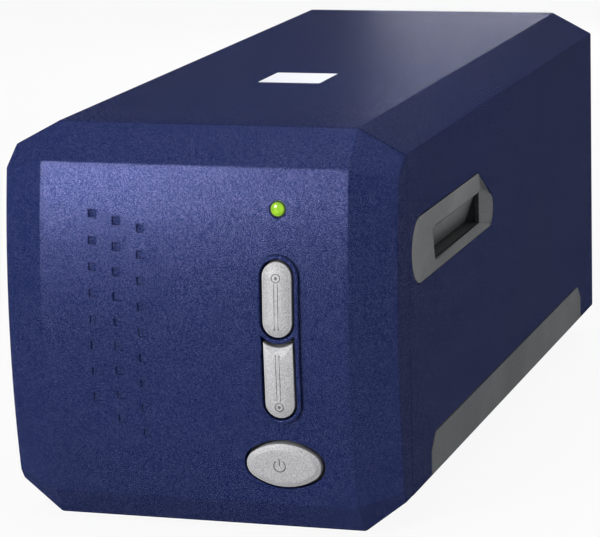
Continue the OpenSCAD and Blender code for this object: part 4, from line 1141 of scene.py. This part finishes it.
def scan_button(node, outline, mark_z, low, high):
    """Crowned cap; its round mark and double line are a raised dark piece of their own, whose dark
    grey is painted shade for the engraved grooves of the real button.
    """
    bm = bmesh.new()
    last = edge_rings(bm, outline, SCAN_EDGE_R, SCAN_EDGE_DEPTH)
    end = BUTTON_R - CROWN_STOP
    height = SCAN_EDGE_DEPTH - CROWN_LOW
    crown(bm, last, outline, SCAN_EDGE_R, end, height, SCAN_EDGE_DEPTH)
    button_piece(bm, node)
    mark = bmesh.new()
    round_mark(mark, mark_z)
    for across in (-RIDGE_X, RIDGE_X):
        ridge(mark, BUTTON_X + across, low, high)
    piece = outward_piece(mark, node + "_mark")
    # the marks' dark grey is painted shade that stands in for engraved grooves
    finish_piece(piece, node, "surround_grey", instead=False)


def power_symbol(bm):
    """Thin dark ring with a gap and a stroke, a little proud of the face."""
    for path in SYMBOL_PATHS:
        rows = []
        for step, (x, z) in enumerate(path):
            before = Vector(path[max(step - 1, 0)])
            after = Vector(path[min(step + 1, len(path) - 1)])
            along = (after - before).normalized()
            side = Vector((-along.y, along.x)) * SYMBOL_HALF
            row = []
            for share, deep in SYMBOL_SECTION:
                height = POWER_Z + z + side.y * share
                y = face_y(height) + SYMBOL_DEPTH + deep
                place = SYMBOL_X + x + side.x * share
                row.append(bm.verts.new((place * MM, y * MM, height * MM)))
            rows.append(row)
        join_rows(bm, rows)


def power_key(node):
    """Flat oval face with a sloping border; the symbol is a dark piece of its own."""
    bm = bmesh.new()
    last = edge_rings(bm, power_outline, POWER_EDGE_R, POWER_EDGE_DEPTH)
    for inset, depth in POWER_BORDER:
        last = next_ring(bm, last, power_outline(inset), depth)
    border = POWER_BORDER[-1][0]
    steps = 8
    for step in range(1, steps + 1):
        inset = border + POWER_FACE_INSET * step / steps
        last = next_ring(bm, last, power_outline(inset), POWER_FACE_DEPTH)
    bm.faces.new(last)
    button_piece(bm, node)
    symbol = bmesh.new()
    power_symbol(symbol)
    piece = outward_piece(symbol, "power_symbol")
    finish_piece(piece, node, "chip_black", instead=False)


def lens_ring(bm, x, y, z, radius):
    """A ring of vertices round the status lens's axis."""
    row = []
    for step in range(LENS_TURNS):
        turn = math.tau * step / LENS_TURNS
        place = (x + radius * math.cos(turn), y, z + radius * math.sin(turn))
        row.append(bm.verts.new(Vector(place) * MM))
    return row


def status_dome(node):
    """Domed status lens in a narrow black collar, which is painted shade in the groove round it.
    """
    lowest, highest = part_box(node)
    x = (lowest[0] + highest[0]) / 2 / MM
    z = (lowest[2] + highest[2]) / 2 / MM
    front = lowest[1] / MM
    reach = (highest[0] - lowest[0]) / 2 / MM
    profile = [(reach - LENS_GAP, highest[1] / MM)]
    profile += [(reach - gap, front + depth) for gap, depth in LENS_STEP]
    steps = 8
    for step in range(steps + 1):
        turn = math.pi / 2 * step / steps
        radius = max((reach - DOME_GAP) * math.cos(turn), LENS_GAP)
        profile.append((radius, front + DOME_FOOT - DOME_RISE * math.sin(turn)))
    bm = bmesh.new()
    last = None
    for radius, y in profile:
        row = lens_ring(bm, x, y, z, radius)
        if last:
            join_rings(bm, last, row)
        else:
            bm.faces.new(row)
        last = row
    bm.faces.new(last)
    piece = outward_piece(bm, node + "_dome", sharp=40)
    finish_piece(piece, node, slots[node])
    # the black collar is painted shade in the groove round the dome
    collar = bmesh.new()
    rings = [lens_ring(collar, x, front + depth, z, reach - gap) for gap, depth in COLLAR]
    for first, second in zip(rings, rings[1:]):
        join_rings(collar, first, second)
    piece = outward_piece(collar, "lens_painted_shade_collar")
    finish_piece(piece, node, "black_plastic", instead=False)


def make_buttons():
    """The scan buttons' numbers are the mark's height and the double line's ends."""
    scan_button("scan_button_1", upper_outline, 78.3, 63.2, 76.6)
    scan_button("scan_button_2", lower_outline, 40.4, 42.1, 56.0)
    power_key("power_button")
    status_dome("status_lens")


# ---------------------------------------------------------------- the scene

clear_scene()
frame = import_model()

# The frame's materials are named after the record's slots, and the finishes take those names.
slots = {}
for key, item in frame["nodes"].items():
    slots[key] = item.data.materials[0].name.split(".")[0]
for old in list(bpy.data.materials):
    old.name = "cad_" + old.name
finishes = make_materials()

make_camera()
make_studio()
paint_frame()
make_shells()
make_buttons()
make_surrounds()
